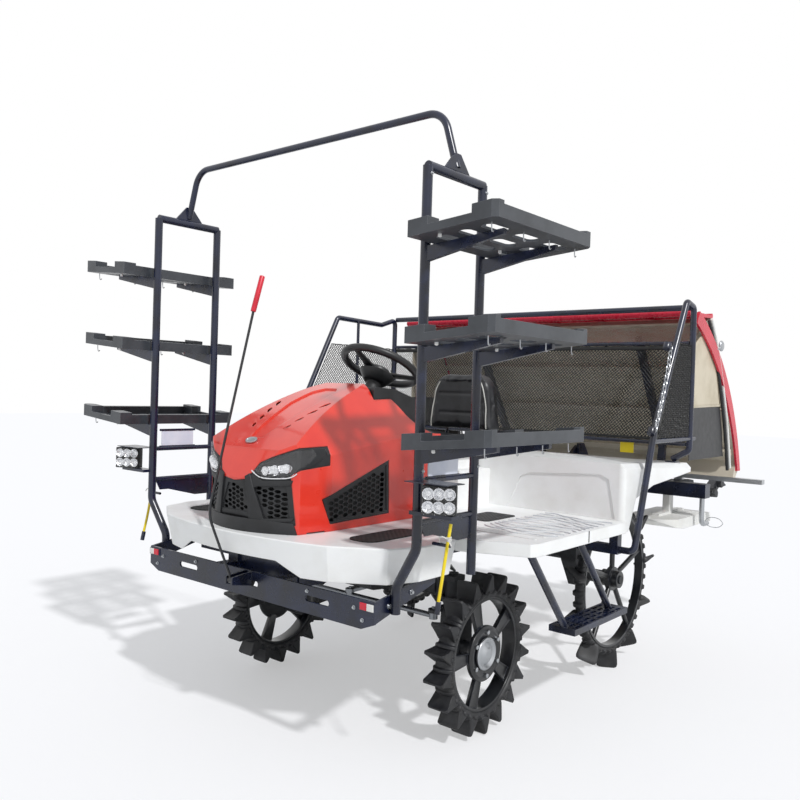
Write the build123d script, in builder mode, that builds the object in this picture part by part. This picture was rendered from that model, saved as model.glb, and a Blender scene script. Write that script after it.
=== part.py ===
"""Six-row riding rice transplanter.

Millimetres. X is across the machine (+X is the driver's left hand side), the machine
faces -Y, Z is up from the ground that the wheels stand on. The origin lies on the
ground, half way along the overall length. Places along the machine that belong to the
front of it are given from the front axle, and fy() turns them into the part's own Y.
The planting unit is in its raised, parked position.
"""

from build123d import *
from math import atan2, cos, degrees, radians, sin, sqrt
import os

os.makedirs("parts", exist_ok=True)

# ---------------------------------------------------------------- driving dimensions
FRONT_AXLE_Y = -742.0
WHEELBASE = 1130.0
FRONT_TRACK = 1210.0
REAR_TRACK = 1286.0
SHEET = 4.0                    # moulded and pressed covers
CLEAR = 6.0                    # running clearance between moving pieces
PIN_FIT = 0.3                  # a pin or shaft in its bore, on the radius
SEAT_GAP = 0.3                 # between pieces that rest on each other

# wheels
FRONT_WHEEL_D = 650.0
FRONT_WHEEL_W = 100.0
FRONT_CARCASS_D = 560.0
FRONT_RIM_D = 440.0
FRONT_LUGS = 18
REAR_WHEEL_D = 900.0
REAR_WHEEL_W = 130.0
REAR_RING_D = 740.0
REAR_RING_IN_D = 670.0
REAR_RING_W = 44.0
REAR_LUGS = 16
SPOKE_D = 26.0
HUB_BORE_D = 44.0

# front axle and steering
AXLE_TUBE_Z = 560.0
AXLE_TUBE_D = 90.0
KINGPIN_X = 462.0
KINGPIN_D = 44.0
STEER_ARM = 130.0
TIE_ROD_Z = 470.0
TIE_ROD_D = 22.0
TIE_EYE_H = 26.0
TIE_PIN_D = 16.0
ARM_THICK = 14.0
ARM_Z = TIE_ROD_Z + TIE_EYE_H / 2 + 0.3
PITMAN_SHAFT_D = 28.0
STEER_LOCK = 35.0              # degrees each way at the front wheels

# main frame
RAIL_X = 180.0
RAIL_W = 60.0
RAIL_H = 80.0
RAIL_TOP_Z = 700.0
RAIL_FRONT = -640.0            # from the front axle
RAIL_REAR = 1330.0
FRONT_DECK_POST = -600.0

# deck, bonnet, rear cover
DECK_Z = 834.0
DECK_LIP = 130.0
DECK_FRONT = -832.0
DECK_HALF = 700.0
SIDE_DECK_HALF = 950.0
SIDE_DECK_FRONT = -285.0
SIDE_DECK_CORNER = -180.0
SIDE_DECK_LIP = 48.0
COVER_FRONT = 590.0
COVER_REAR = 1385.0
COVER_TOP_Z = 1085.0
COVER_TOP_REAR_Z = 1050.0
COVER_HALF = 935.0
BONNET_HALF = 280.0
BONNET_FRONT = -775.0
BONNET_REAR = 125.0
BONNET_LOW_Z = DECK_Z + SEAT_GAP
BONNET_TOP_Z = 1400.0
BONNET_PEAK = -205.0
BONNET_WALL = 4.0

# driver's place
SEAT_HALF = 230.0
SEAT_FRONT = 330.0
SEAT_REAR = 760.0
SEAT_Z = 1095.0
SEAT_THICK = 80.0
SEAT_BACK_TOP_Z = 1485.0
SEAT_BACK_HALF = 215.0
SEAT_BACK_TOP_HALF = 172.0
WHEEL_RIM_D = 380.0            # steering wheel
WHEEL_GRIP_D = 26.0
WHEEL_CENTRE_Y = 24.0
WHEEL_CENTRE_Z = 1482.0
COLUMN_LEAN = 27.0             # degrees back from upright

# side steps
STEP_STRUT_FRONT = -85.0
STEP_STRUT_REAR = 310.0
STEP_X = 845.0
STEP_Z = 428.0
STEP_FRONT = 235.0
STEP_LENGTH = 500.0
STEP_WIDTH = 120.0
STEP_STRUT_D = 30.0

# centre marker pole
POLE_Y = -790.0
POLE_Z = 640.0
POLE_D = 10.0

# racks for the spare seedling trays
RACK_X = 767.0
RACK_FRONT = -641.0
RACK_REAR = -320.0
RACK_TOP_Z = 2118.0
RACK_TUBE_D = 34.0
RACK_FOOT_Z = 900.0
SHELF_IN = 807.0
SHELF_OUT = 1134.0
SHELF_FRONT = -785.0
SHELF_REAR = -181.0
SHELF_ZS = (1188.0, 1523.0, 1855.0)
SHELF_RISE = 30.0
SHELF_FLOOR = 8.0
SHELF_THICK = 26.0             # lip at a shelf's front and rear edges
SHELF_BEAM = 42.0              # beams along a shelf's inner and outer edges
SHELF_BLOCK = 52.0             # corner blocks
HOOP_TOP_Z = 2355.0
HOOP_HALF = 683.0
HOOP_TUBE_D = 27.0

# rear handrails and net
RAIL_TUBE_D = 30.0
HANDRAIL_X = 968.0
HANDRAIL_FOOT = 640.0
HANDRAIL_FOOT_RIGHT = 262.0
HANDRAIL_POST = 900.0           # upright inside the right rail
HANDRAIL_TOP_Z = 1830.0
NET_Y = 1262.0
NET_LOW_Z = 1165.0
NET_HIGH_Z = 1640.0
NET_THICK = 6.0

# lift linkage: a parallelogram, raised at rest
LINK_LENGTH = 560.0
LINK_RAISED = 30.0             # degrees above level, at rest
LINK_DROP = 60.0               # degrees down to the lowered position
LINK_LOW_Y = 1290.0
LINK_LOW_Z = 545.0
LINK_HIGH_Y = 1230.0
LINK_HIGH_Z = 775.0
LINK_PIN_D = 26.0
UPPER_ARM_IN = 112.0           # inner faces of the upper links
LINK_ARM_W = 20.0
LINK_ARM_H = 44.0
CYLINDER_Y = 940.0
CYLINDER_Z = 745.0
CYLINDER_D = 56.0
CYLINDER_PIN_D = 20.0
ROD_D = 26.0
LIFT_LEVER = 140.0             # lever on the lower link that the cylinder works
LEVER_LEAN = 20.0              # degrees rearward from upright, at rest

# planting unit
ROW_PITCH = 300.0
ROWS = 6
BEAM_Y = 1960.0                # toolbar, from the front axle
BEAM_Z = 850.0
BEAM_SIZE = 80.0
BEAM_HALF = 830.0
ROTOR_Y = 2262.0
ROTOR_Z = 842.0
ROTOR_REACH = 124.0
TABLE_HALF = 925.0
TABLE_TOP_Y = 1640.0
TABLE_TOP_Z = 1812.0
TABLE_LOW_Y = 2184.0
TABLE_LOW_Z = 968.0
TABLE_THICK = 46.0
TABLE_ROOF_Y = 1330.0          # front edge of the roof over the tray extension
TABLE_TRAVEL = 130.0           # each way
GUIDE_Y = 2120.0
RAIL_END_X = 1085.0            # guide rail
FLOAT_Z = 640.0
FLOAT_H = 60.0
FLOAT_LENGTH = 760.0
FLOAT_WIDTH = 230.0

PIECES = []


def fy(from_axle):
    """Y of a place that is given from the front axle."""
    return FRONT_AXLE_Y + from_axle


REAR_AXLE_Y = fy(WHEELBASE)


def keep(piece, name):
    """Labels a finished piece and writes its STEP file."""
    piece.part.label = name
    export_step(piece.part, f"parts/{name}.step")
    PIECES.append(name)


def run_tube(points, bend, diameter):
    """Adds a round tube along straight runs joined by bends of one radius."""
    with BuildLine() as route:
        if len(points) > 2:
            FilletPolyline(*points, radius=bend)
        else:
            Line(*points)
    path = route.wire()
    with BuildSketch(Plane(origin=path @ 0, z_dir=path % 0)) as section:
        Circle(diameter / 2)
    sweep(section.sketch, path=path)


def bar(start, end, diameter):
    """Adds a straight round bar from one point to another."""
    run_tube([start, end], 0, diameter)


def block(x0, x1, y0, y1, z0, z1, mode=Mode.ADD):
    """Adds or cuts a box given by its faces."""
    with Locations(((x0 + x1) / 2, (y0 + y1) / 2, (z0 + z1) / 2)):
        Box(x1 - x0, y1 - y0, z1 - z0, mode=mode)


def side_plate(x0, x1, outline, mode=Mode.ADD):
    """Adds or cuts a plate whose outline is a list of (y, z), from x0 to x1."""
    with BuildSketch(Plane.YZ.offset(x0)) as profile:
        with BuildLine():
            Polyline(*outline, close=True)
        make_face()
    extrude(profile.sketch, amount=x1 - x0, mode=mode)


def across_plate(y0, y1, outline, mode=Mode.ADD):
    """Adds or cuts a plate whose outline is a list of (x, z), from y0 to y1."""
    with BuildSketch(Plane.XZ.offset(-y1)) as profile:
        Polygon(*outline, align=None)
    extrude(profile.sketch, amount=y1 - y0, mode=mode)


def inside(point, outline):
    """True when a point lies in a convex outline whose corners run anticlockwise."""
    for (x0, y0), (x1, y1) in zip(outline, outline[1:] + outline[:1]):
        if (x1 - x0) * (point[1] - y0) - (y1 - y0) * (point[0] - x0) < 0:
            return False
    return True


def honeycomb(outline, width, height, wall):
    """Adds to a sketch every whole hexagon of a mesh that lies in a convex outline."""
    half_w, half_h = width / 2, height / 2
    cell = [(-half_w, 0), (-half_w / 2, -half_h), (half_w / 2, -half_h),
            (half_w, 0), (half_w / 2, half_h), (-half_w / 2, half_h)]
    pitch_x, pitch_y = width * 0.75 + wall, height + wall
    xs, ys = [x for x, _ in outline], [y for _, y in outline]
    centres = []
    for column in range(int((max(xs) - min(xs)) / pitch_x) + 2):
        for row in range(int((max(ys) - min(ys)) / pitch_y) + 2):
            x = min(xs) + column * pitch_x
            y = min(ys) + (row + column % 2 / 2) * pitch_y
            if all(inside((x + dx, y + dy), outline) for dx, dy in cell):
                centres.append((x, y))
    with Locations(*centres):
        Polygon(*cell, align=None)


# ---------------------------------------------------------------- main frame
rail_y0, rail_y1 = fy(RAIL_FRONT), fy(RAIL_REAR)
rail_low = RAIL_TOP_Z - RAIL_H
# cross members: place from the front axle, width along Y
CROSS_MEMBERS = ((-600.0, 60.0), (-230.0, 60.0), (390.0, 60.0), (CYLINDER_Y - 20, 60.0))
# outriggers: place from the front axle, reach from the middle
OUTRIGGER = 900.0
OUTRIGGERS = ((FRONT_DECK_POST, 420.0, (-1, 1)), (HANDRAIL_FOOT, OUTRIGGER, (-1, 1)),
              (HANDRAIL_FOOT_RIGHT, OUTRIGGER, (-1,)))
# arms that lie close under the side decks and carry the steps
ARM_LOW_Z = DECK_Z - SHEET - 40

with BuildPart() as main_frame:
    for x in (-RAIL_X, RAIL_X):
        block(x - RAIL_W / 2, x + RAIL_W / 2, rail_y0, rail_y1, rail_low, RAIL_TOP_Z)
    for place, width in CROSS_MEMBERS:
        y = fy(place)
        inner = RAIL_X - RAIL_W / 2
        block(-inner, inner, y - width / 2, y + width / 2, rail_low + 10, RAIL_TOP_Z)
    # outriggers that carry the side decks and the rear cover
    for place, reach, sides in OUTRIGGERS:
        y = fy(place)
        for side in sides:
            x0, x1 = sorted((side * (RAIL_X + RAIL_W / 2), side * reach))
            block(x0, x1, y - 20, y + 20, RAIL_TOP_Z - 20, RAIL_TOP_Z + 20)
            block(x1 - 40 if side > 0 else x0, x1 if side > 0 else x0 + 40,
                  y - 20, y + 20, RAIL_TOP_Z + 20, DECK_Z - SHEET)
    for place in (STEP_STRUT_FRONT, STEP_STRUT_REAR):
        y = fy(place)
        for side in (-1, 1):
            block(*sorted((side * 188, side * 210)), y - 20, y + 20, RAIL_TOP_Z - 5, ARM_LOW_Z + 5)
            block(*sorted((side * 188, side * OUTRIGGER)), y - 20, y + 20,
                  ARM_LOW_Z, DECK_Z - SHEET)
    # rear uprights and pins that carry the lift linkage
    plate_in, plate_out = RAIL_X + RAIL_W / 2, RAIL_X + RAIL_W / 2 + 12
    for side in (-1, 1):
        x0, x1 = sorted((side * plate_in, side * plate_out))
        side_plate(x0, x1, [
            (fy(LINK_LOW_Y) - 170, LINK_LOW_Z - 30), (fy(LINK_LOW_Y) + 40, LINK_LOW_Z - 30),
            (fy(LINK_LOW_Y) + 40, LINK_LOW_Z + 60), (fy(LINK_HIGH_Y) + 40, LINK_HIGH_Z + 40),
            (fy(LINK_HIGH_Y) - 60, LINK_HIGH_Z + 40)])
        bar((side * plate_in, fy(LINK_HIGH_Y), LINK_HIGH_Z),
            (side * UPPER_ARM_IN, fy(LINK_HIGH_Y), LINK_HIGH_Z), LINK_PIN_D)
    bar((-plate_in, fy(LINK_LOW_Y), LINK_LOW_Z), (plate_in, fy(LINK_LOW_Y), LINK_LOW_Z), LINK_PIN_D)
    # lugs for the lift cylinder
    for x0, x1 in ((-44, -34), (34, 44)):
        side_plate(x0, x1, [
            (fy(CYLINDER_Y) - 50, RAIL_TOP_Z - 20), (fy(CYLINDER_Y) + 8, RAIL_TOP_Z - 20),
            (fy(CYLINDER_Y) + 18, CYLINDER_Z + 24), (fy(CYLINDER_Y) - 18, CYLINDER_Z + 24)])
    bar((-44, fy(CYLINDER_Y), CYLINDER_Z), (44, fy(CYLINDER_Y), CYLINDER_Z), CYLINDER_PIN_D)
keep(main_frame, "main_frame")

# ---------------------------------------------------------------- front bumper
BUMPER_HALF = 655.0
BUMPER_FRONT = -712.0
BUMPER_LOW_Z = 565.0
BUMPER_HIGH_Z = 665.0
BUMPER_PLATE = 8.0
with BuildPart() as front_bumper:
    front = fy(BUMPER_FRONT)
    with BuildSketch(Plane.XZ.offset(-front)):
        with BuildLine():
            Polyline((-BUMPER_HALF, BUMPER_HIGH_Z), (-BUMPER_HALF, BUMPER_LOW_Z + 25),
                     (-BUMPER_HALF + 60, BUMPER_LOW_Z), (BUMPER_HALF - 60, BUMPER_LOW_Z),
                     (BUMPER_HALF, BUMPER_LOW_Z + 25), (BUMPER_HALF, BUMPER_HIGH_Z),
                     close=True)
        make_face()
        with Locations((0, (BUMPER_LOW_Z + BUMPER_HIGH_Z) / 2 + 5)):
            with GridLocations(380, 1, 3, 1):
                SlotOverall(120, 22, mode=Mode.SUBTRACT)
    extrude(amount=-BUMPER_PLATE)
    for x in (-RAIL_X, RAIL_X):
        block(x - 25, x + 25, front + BUMPER_PLATE, rail_y0, rail_low + 5, BUMPER_HIGH_Z)
    for side in (-1, 1):
        x0, x1 = sorted((side * BUMPER_HALF, side * (BUMPER_HALF - BUMPER_PLATE)))
        side_plate(x0, x1, [(front, BUMPER_LOW_Z + 25), (front, BUMPER_HIGH_Z),
                            (front + 330, BUMPER_HIGH_Z + 55), (front + 330, BUMPER_HIGH_Z + 15)])
    # pads that carry the side reflectors
    for side in (-1, 1):
        x0, x1 = sorted((side * BUMPER_HALF, side * (BUMPER_HALF - 70)))
        block(x0, x1, front - 4, front, BUMPER_HIGH_Z - 34, BUMPER_HIGH_Z - 6)
    # ears that hold the marker pole's pin
    for x0, x1 in ((-22, -14), (14, 22)):
        side_plate(x0, x1, [(front, POLE_Z - 30), (front, POLE_Z + 24),
                            (fy(POLE_Y) - 14, POLE_Z + 14), (fy(POLE_Y) - 14, POLE_Z - 14)])
keep(front_bumper, "front_bumper")

# ---------------------------------------------------------------- engine and driveline
with BuildPart() as engine_block:
    block(-185, 185, fy(-500), fy(-110), RAIL_TOP_Z, 1050)
    fillet(engine_block.edges().filter_by(Axis.Z), 20)
keep(engine_block, "engine_block")

GEARBOX_HALF = RAIL_X - RAIL_W / 2
GEARBOX_TOP = rail_low + 60
with BuildPart() as gearbox:
    side_plate(-GEARBOX_HALF, GEARBOX_HALF, [
        (fy(-160), AXLE_TUBE_Z - 40), (fy(-160), rail_low), (fy(-120), GEARBOX_TOP),
        (fy(240), GEARBOX_TOP), (fy(300), AXLE_TUBE_Z + 30), (fy(260), AXLE_TUBE_Z - 38),
        (fy(60), AXLE_TUBE_Z - 46), (fy(-100), AXLE_TUBE_Z - 46)])
    fillet(gearbox.edges().filter_by(Axis.X), 14)
    bar((0, fy(0), AXLE_TUBE_Z - 40), (0, fy(0), ARM_Z - 6), PITMAN_SHAFT_D)
keep(gearbox, "gearbox")

with BuildPart() as front_axle:
    for side in (-1, 1):
        inner, outer = side * GEARBOX_HALF, side * (KINGPIN_X - 62)
        bar((inner, fy(0), AXLE_TUBE_Z), (outer, fy(0), AXLE_TUBE_Z), AXLE_TUBE_D)
        bar((inner, fy(0), AXLE_TUBE_Z), (inner + side * 26, fy(0), AXLE_TUBE_Z), AXLE_TUBE_D + 24)
        # yoke that holds the kingpin above and below the drop case's neck
        x0, x1 = sorted((outer, side * (KINGPIN_X + 34)))
        for z in (AXLE_TUBE_Z - 45, AXLE_TUBE_Z + 45):
            block(x0, x1, fy(0) - 36, fy(0) + 36, z - 11, z + 11)
        x0, x1 = sorted((outer, outer + side * 14))
        block(x0, x1, fy(0) - 36, fy(0) + 36, AXLE_TUBE_Z - 56, AXLE_TUBE_Z + 56)
    # both yokes are bored for the kingpins that turn in them
    with Locations(*[(side * KINGPIN_X, fy(0), AXLE_TUBE_Z) for side in (-1, 1)]):
        Cylinder(KINGPIN_D / 2 + PIN_FIT, 200, mode=Mode.SUBTRACT)
keep(front_axle, "front_axle")


def knuckle(side):
    """Drop case of one front wheel, with its kingpin, steering arm and hub stub."""
    x = side * KINGPIN_X
    with BuildPart() as piece:
        with BuildSketch(Plane.XY.offset(AXLE_TUBE_Z - 33)):
            with Locations((x, fy(0))):
                Circle(32)
        extrude(amount=66)
        with BuildSketch(Plane.XY.offset(AXLE_TUBE_Z - 80)):
            with Locations((x, fy(0))):
                Circle(KINGPIN_D / 2)
        extrude(amount=145)
        # the case steps out and down to the hub
        side_x0, side_x1 = sorted((x - side * 20, x + side * 62))
        case_low = FRONT_WHEEL_D / 2 - 62
        side_plate(side_x0, side_x1, [
            (fy(-52), AXLE_TUBE_Z - 66), (fy(52), AXLE_TUBE_Z - 66),
            (fy(60), FRONT_WHEEL_D / 2), (fy(40), case_low + 20), (fy(0), case_low),
            (fy(-40), case_low + 20), (fy(-60), FRONT_WHEEL_D / 2)])
        hub_z = FRONT_WHEEL_D / 2
        bar((x + side * 40, fy(0), hub_z), (side * (FRONT_TRACK / 2 - 40), fy(0), hub_z), 62)
        bar((x + side * 40, fy(0), hub_z), (side * (FRONT_TRACK / 2 + 40), fy(0), hub_z),
            HUB_BORE_D - 2 * PIN_FIT)
        # steering arm, level with the tie rod
        with BuildSketch(Plane.XY.offset(ARM_Z)):
            with Locations((x, fy(-STEER_ARM / 2))):
                Rectangle(34, STEER_ARM)
            with Locations((x, fy(-STEER_ARM))):
                Circle(22)
                Circle(TIE_PIN_D / 2 + PIN_FIT, mode=Mode.SUBTRACT)
        extrude(amount=ARM_THICK)
    return piece


for side, name in ((1, "knuckle_left"), (-1, "knuckle_right")):
    keep(knuckle(side), name)


# ---------------------------------------------------------------- front wheels
FRONT_HUB_D = 150.0
FRONT_SPOKES = 4


def wheel_plane(side, track, axle_y, radius):
    """The middle plane of a wheel, with its axle along the plane's normal."""
    return Plane(origin=(side * track / 2, axle_y, radius), x_dir=(0, 1, 0), z_dir=(1, 0, 0))


def front_tyre(side):
    """Carcass ring with a full-width lug at each pitch."""
    foot, tip = FRONT_CARCASS_D / 2 - 4, FRONT_WHEEL_D / 2
    middle = wheel_plane(side, FRONT_TRACK, fy(0), FRONT_WHEEL_D / 2)
    with BuildPart(middle) as piece:
        with BuildSketch(middle):
            Circle(FRONT_CARCASS_D / 2)
        extrude(amount=FRONT_WHEEL_W / 2 - 6, both=True)
        chamfer(piece.edges().filter_by(GeomType.CIRCLE), 12)
        with BuildSketch(middle):
            with PolarLocations(0, FRONT_LUGS, start_angle=90):
                Polygon((foot, -26), (tip, -13), (tip, 9), (foot, 22), align=None)
        extrude(amount=FRONT_WHEEL_W / 2, both=True)
        with BuildSketch(middle):
            Circle(FRONT_RIM_D / 2)
        extrude(amount=FRONT_WHEEL_W, both=True, mode=Mode.SUBTRACT)
    return piece


def front_rim(side):
    """Rolled rim band, pressed spokes and hub with its bearing cap."""
    band_out, band_in = FRONT_RIM_D / 2, FRONT_RIM_D / 2 - 10
    middle = wheel_plane(side, FRONT_TRACK, fy(0), FRONT_WHEEL_D / 2)
    with BuildPart(middle) as piece:
        with BuildSketch(middle):
            Circle(band_out)
            Circle(band_in, mode=Mode.SUBTRACT)
        extrude(amount=FRONT_WHEEL_W / 2 - 10, both=True)
        with BuildSketch(middle):
            Circle(FRONT_HUB_D / 2)
            with PolarLocations(band_in / 2, FRONT_SPOKES, start_angle=45):
                Rectangle(band_in + 6, 40)
            Circle(HUB_BORE_D / 2, mode=Mode.SUBTRACT)
        extrude(amount=11, both=True)
        with BuildSketch(middle):
            Circle(46)
            Circle(HUB_BORE_D / 2, mode=Mode.SUBTRACT)
        extrude(amount=34, both=True)
    return piece


for side, name in ((1, "left"), (-1, "right")):
    keep(front_tyre(side), f"front_tyre_{name}")
    keep(front_rim(side), f"front_rim_{name}")

# ---------------------------------------------------------------- rear axle and wheels
REAR_HUB_D = 120.0
REAR_SPOKES = 5
REAR_CASE_X = 500.0
REAR_TUBE_Z = 600.0


def rear_rim(side):
    """Thin ring on round spokes, with a long hub tube towards the machine."""
    middle = wheel_plane(side, REAR_TRACK, REAR_AXLE_Y, REAR_WHEEL_D / 2)
    with BuildPart(middle) as piece:
        with BuildSketch(middle):
            Circle(REAR_HUB_D / 2)
            Circle(HUB_BORE_D / 2, mode=Mode.SUBTRACT)
        extrude(amount=12, both=True)
        with BuildSketch(middle):
            Circle(42)
            Circle(HUB_BORE_D / 2, mode=Mode.SUBTRACT)
        extrude(amount=46, both=True)
        reach = REAR_RING_IN_D / 2 - 40
        with PolarLocations(40 + reach / 2, REAR_SPOKES, start_angle=18):
            Cylinder(SPOKE_D / 2, reach, rotation=(0, 90, 0))
        with BuildSketch(middle):
            Circle(REAR_RING_IN_D / 2 + 6)
            Circle(REAR_RING_IN_D / 2 - 6, mode=Mode.SUBTRACT)
        extrude(amount=REAR_RING_W / 2, both=True)
    return piece


def rear_lugs(side):
    """Rubber ring with a broad paddle at each pitch, wider than the ring."""
    foot, tip = REAR_RING_D / 2 - 8, REAR_WHEEL_D / 2
    middle = wheel_plane(side, REAR_TRACK, REAR_AXLE_Y, REAR_WHEEL_D / 2)
    with BuildPart(middle) as piece:
        with BuildSketch(middle):
            Circle(REAR_RING_D / 2)
            Circle(REAR_RING_IN_D / 2 + 6, mode=Mode.SUBTRACT)
        extrude(amount=REAR_RING_W / 2 + 4, both=True)
        with BuildSketch(middle):
            with PolarLocations(0, REAR_LUGS, start_angle=94):
                Polygon((foot, -26), (tip - 8, -34), (tip, -26), (foot + 14, 14),
                        (foot, 30), align=None)
        extrude(amount=REAR_WHEEL_W / 2, both=True)
    return piece


for side, name in ((1, "left"), (-1, "right")):
    keep(rear_lugs(side), f"rear_tyre_{name}")
    keep(rear_rim(side), f"rear_rim_{name}")

with BuildPart() as rear_axle:
    wheel_z = REAR_WHEEL_D / 2
    # housing between the rails, flanged to their lower faces
    side_plate(-RAIL_X, RAIL_X, [
        (REAR_AXLE_Y - 190, rail_low), (REAR_AXLE_Y - 190, REAR_TUBE_Z - 40),
        (REAR_AXLE_Y - 90, REAR_TUBE_Z - 95), (REAR_AXLE_Y + 80, REAR_TUBE_Z - 95),
        (REAR_AXLE_Y + 120, rail_low - 60),
        (REAR_AXLE_Y + 45, rail_low)])
    for side in (-1, 1):
        inner, outer = side * RAIL_X, side * REAR_CASE_X
        bar((inner, REAR_AXLE_Y - 60, REAR_TUBE_Z - 30), (outer, REAR_AXLE_Y - 60, REAR_TUBE_Z - 30), 96)
        x0, x1 = sorted((outer, side * (REAR_CASE_X - 84)))
        side_plate(x0, x1, [
            (REAR_AXLE_Y - 120, REAR_TUBE_Z + 20), (REAR_AXLE_Y - 30, REAR_TUBE_Z + 30),
            (REAR_AXLE_Y + 62, wheel_z + 40), (REAR_AXLE_Y + 62, wheel_z - 40),
            (REAR_AXLE_Y + 20, wheel_z - 66), (REAR_AXLE_Y - 30, wheel_z - 62),
            (REAR_AXLE_Y - 62, wheel_z - 10), (REAR_AXLE_Y - 120, REAR_TUBE_Z - 70)])
        stub_end = side * (REAR_TRACK / 2 + 52)
        bar((outer, REAR_AXLE_Y, wheel_z), (stub_end, REAR_AXLE_Y, wheel_z), HUB_BORE_D - 2 * PIN_FIT)
        bar((outer, REAR_AXLE_Y, wheel_z), (side * (REAR_TRACK / 2 - 52), REAR_AXLE_Y, wheel_z), 66)
keep(rear_axle, "rear_axle")

# ---------------------------------------------------------------- steering linkage
with BuildPart() as pitman_arm:
    with BuildSketch(Plane.XY.offset(ARM_Z)):
        with Locations((0, fy(-STEER_ARM / 2))):
            Rectangle(40, STEER_ARM)
        with Locations((0, fy(-STEER_ARM))):
            Circle(22)
            Circle(TIE_PIN_D / 2 + PIN_FIT, mode=Mode.SUBTRACT)
        with Locations((0, fy(0))):
            Circle(30)
            Circle(PITMAN_SHAFT_D / 2 + PIN_FIT, mode=Mode.SUBTRACT)
    extrude(amount=ARM_THICK)
keep(pitman_arm, "pitman_arm")

with BuildPart() as tie_rod:
    arm_end = fy(-STEER_ARM)
    bar((-KINGPIN_X, arm_end, TIE_ROD_Z), (KINGPIN_X, arm_end, TIE_ROD_Z), TIE_ROD_D)
    for x in (-KINGPIN_X, 0, KINGPIN_X):
        bar((x, arm_end, TIE_ROD_Z - TIE_EYE_H / 2), (x, arm_end, TIE_ROD_Z + TIE_EYE_H / 2), 34)
        bar((x, arm_end, TIE_ROD_Z), (x, arm_end, ARM_Z + ARM_THICK + 8), TIE_PIN_D)
keep(tie_rod, "tie_rod")

# ---------------------------------------------------------------- deck
LIP_LOW_Z = DECK_Z - DECK_LIP


def deck_outline(inset):
    """Adds the front deck's outline to the sketch, moved in by a wall."""
    front, half = fy(DECK_FRONT) + inset, DECK_HALF - inset
    rear = fy(SIDE_DECK_FRONT)
    with BuildLine() as edge:
        nose = ThreePointArc((-470, front + 70), (0, front), (470, front + 70))
        right = Polyline(nose @ 1, (half - 50, front + 190), (half, front + 330), (half, rear))
        left = Polyline(nose @ 0, (-half + 50, front + 190), (-half, front + 330), (-half, rear))
        Line(right @ 1, left @ 1)
    return make_face(edge.edges())


LIP_TAPER = 12.0               # degrees that the lip leans in towards its lower edge
LIP_NOTCH = 50.0               # the lip is shallower by this in the middle
MAT_THICK = 5.0
MAT_SUNK = 2.0                 # depth of the recesses that hold the mats
# mats on both halves of the deck: middle across and along, length across, length along
MATS = {"front": (478.0, -452.0, 128.0, 330.0), "side": (470.0, 232.0, 150.0, 236.0)}


def mat_outlines(name, grow):
    """Adds the outlines of one pair of mats, or of their recesses, to a sketch."""
    x, y, across, lengthways = MATS[name]
    with Locations((x, fy(y)), (-x, fy(y))):
        RectangleRounded(across + 2 * grow, lengthways + 2 * grow, 50 if name == "front" else 22)


with BuildPart() as front_deck:
    with BuildSketch(Plane.XY.offset(DECK_Z - SHEET)):
        deck_outline(0)
    extrude(amount=-DECK_LIP + SHEET, taper=LIP_TAPER)
    with BuildSketch(Plane.XY.offset(DECK_Z - SHEET)):
        deck_outline(0)
    extrude(amount=SHEET, taper=45)
    with BuildSketch(Plane.XY.offset(DECK_Z - SHEET)):
        deck_outline(SHEET)
    extrude(amount=-DECK_LIP, taper=LIP_TAPER, mode=Mode.SUBTRACT)
    block(-DECK_HALF, DECK_HALF, fy(SIDE_DECK_FRONT) - 40, fy(SIDE_DECK_FRONT) + 5,
          LIP_LOW_Z - 5, DECK_Z - SHEET, mode=Mode.SUBTRACT)
    # open under the bonnet, where the engine stands
    block(-BONNET_HALF + 34, BONNET_HALF - 34, fy(-690), fy(SIDE_DECK_FRONT) + 10,
          LIP_LOW_Z, DECK_Z + 10, mode=Mode.SUBTRACT)
    # the lip is shallower in the middle, over the bumper
    across_plate(fy(DECK_FRONT) - 10, fy(-600), [
        (-360, LIP_LOW_Z - 5), (-250, LIP_LOW_Z + LIP_NOTCH), (250, LIP_LOW_Z + LIP_NOTCH),
        (360, LIP_LOW_Z - 5)], mode=Mode.SUBTRACT)
    # recesses for the mats
    with BuildSketch(Plane.XY.offset(DECK_Z)):
        mat_outlines("front", 1)
    extrude(amount=-MAT_SUNK, mode=Mode.SUBTRACT)
keep(front_deck, "front_deck")

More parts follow.
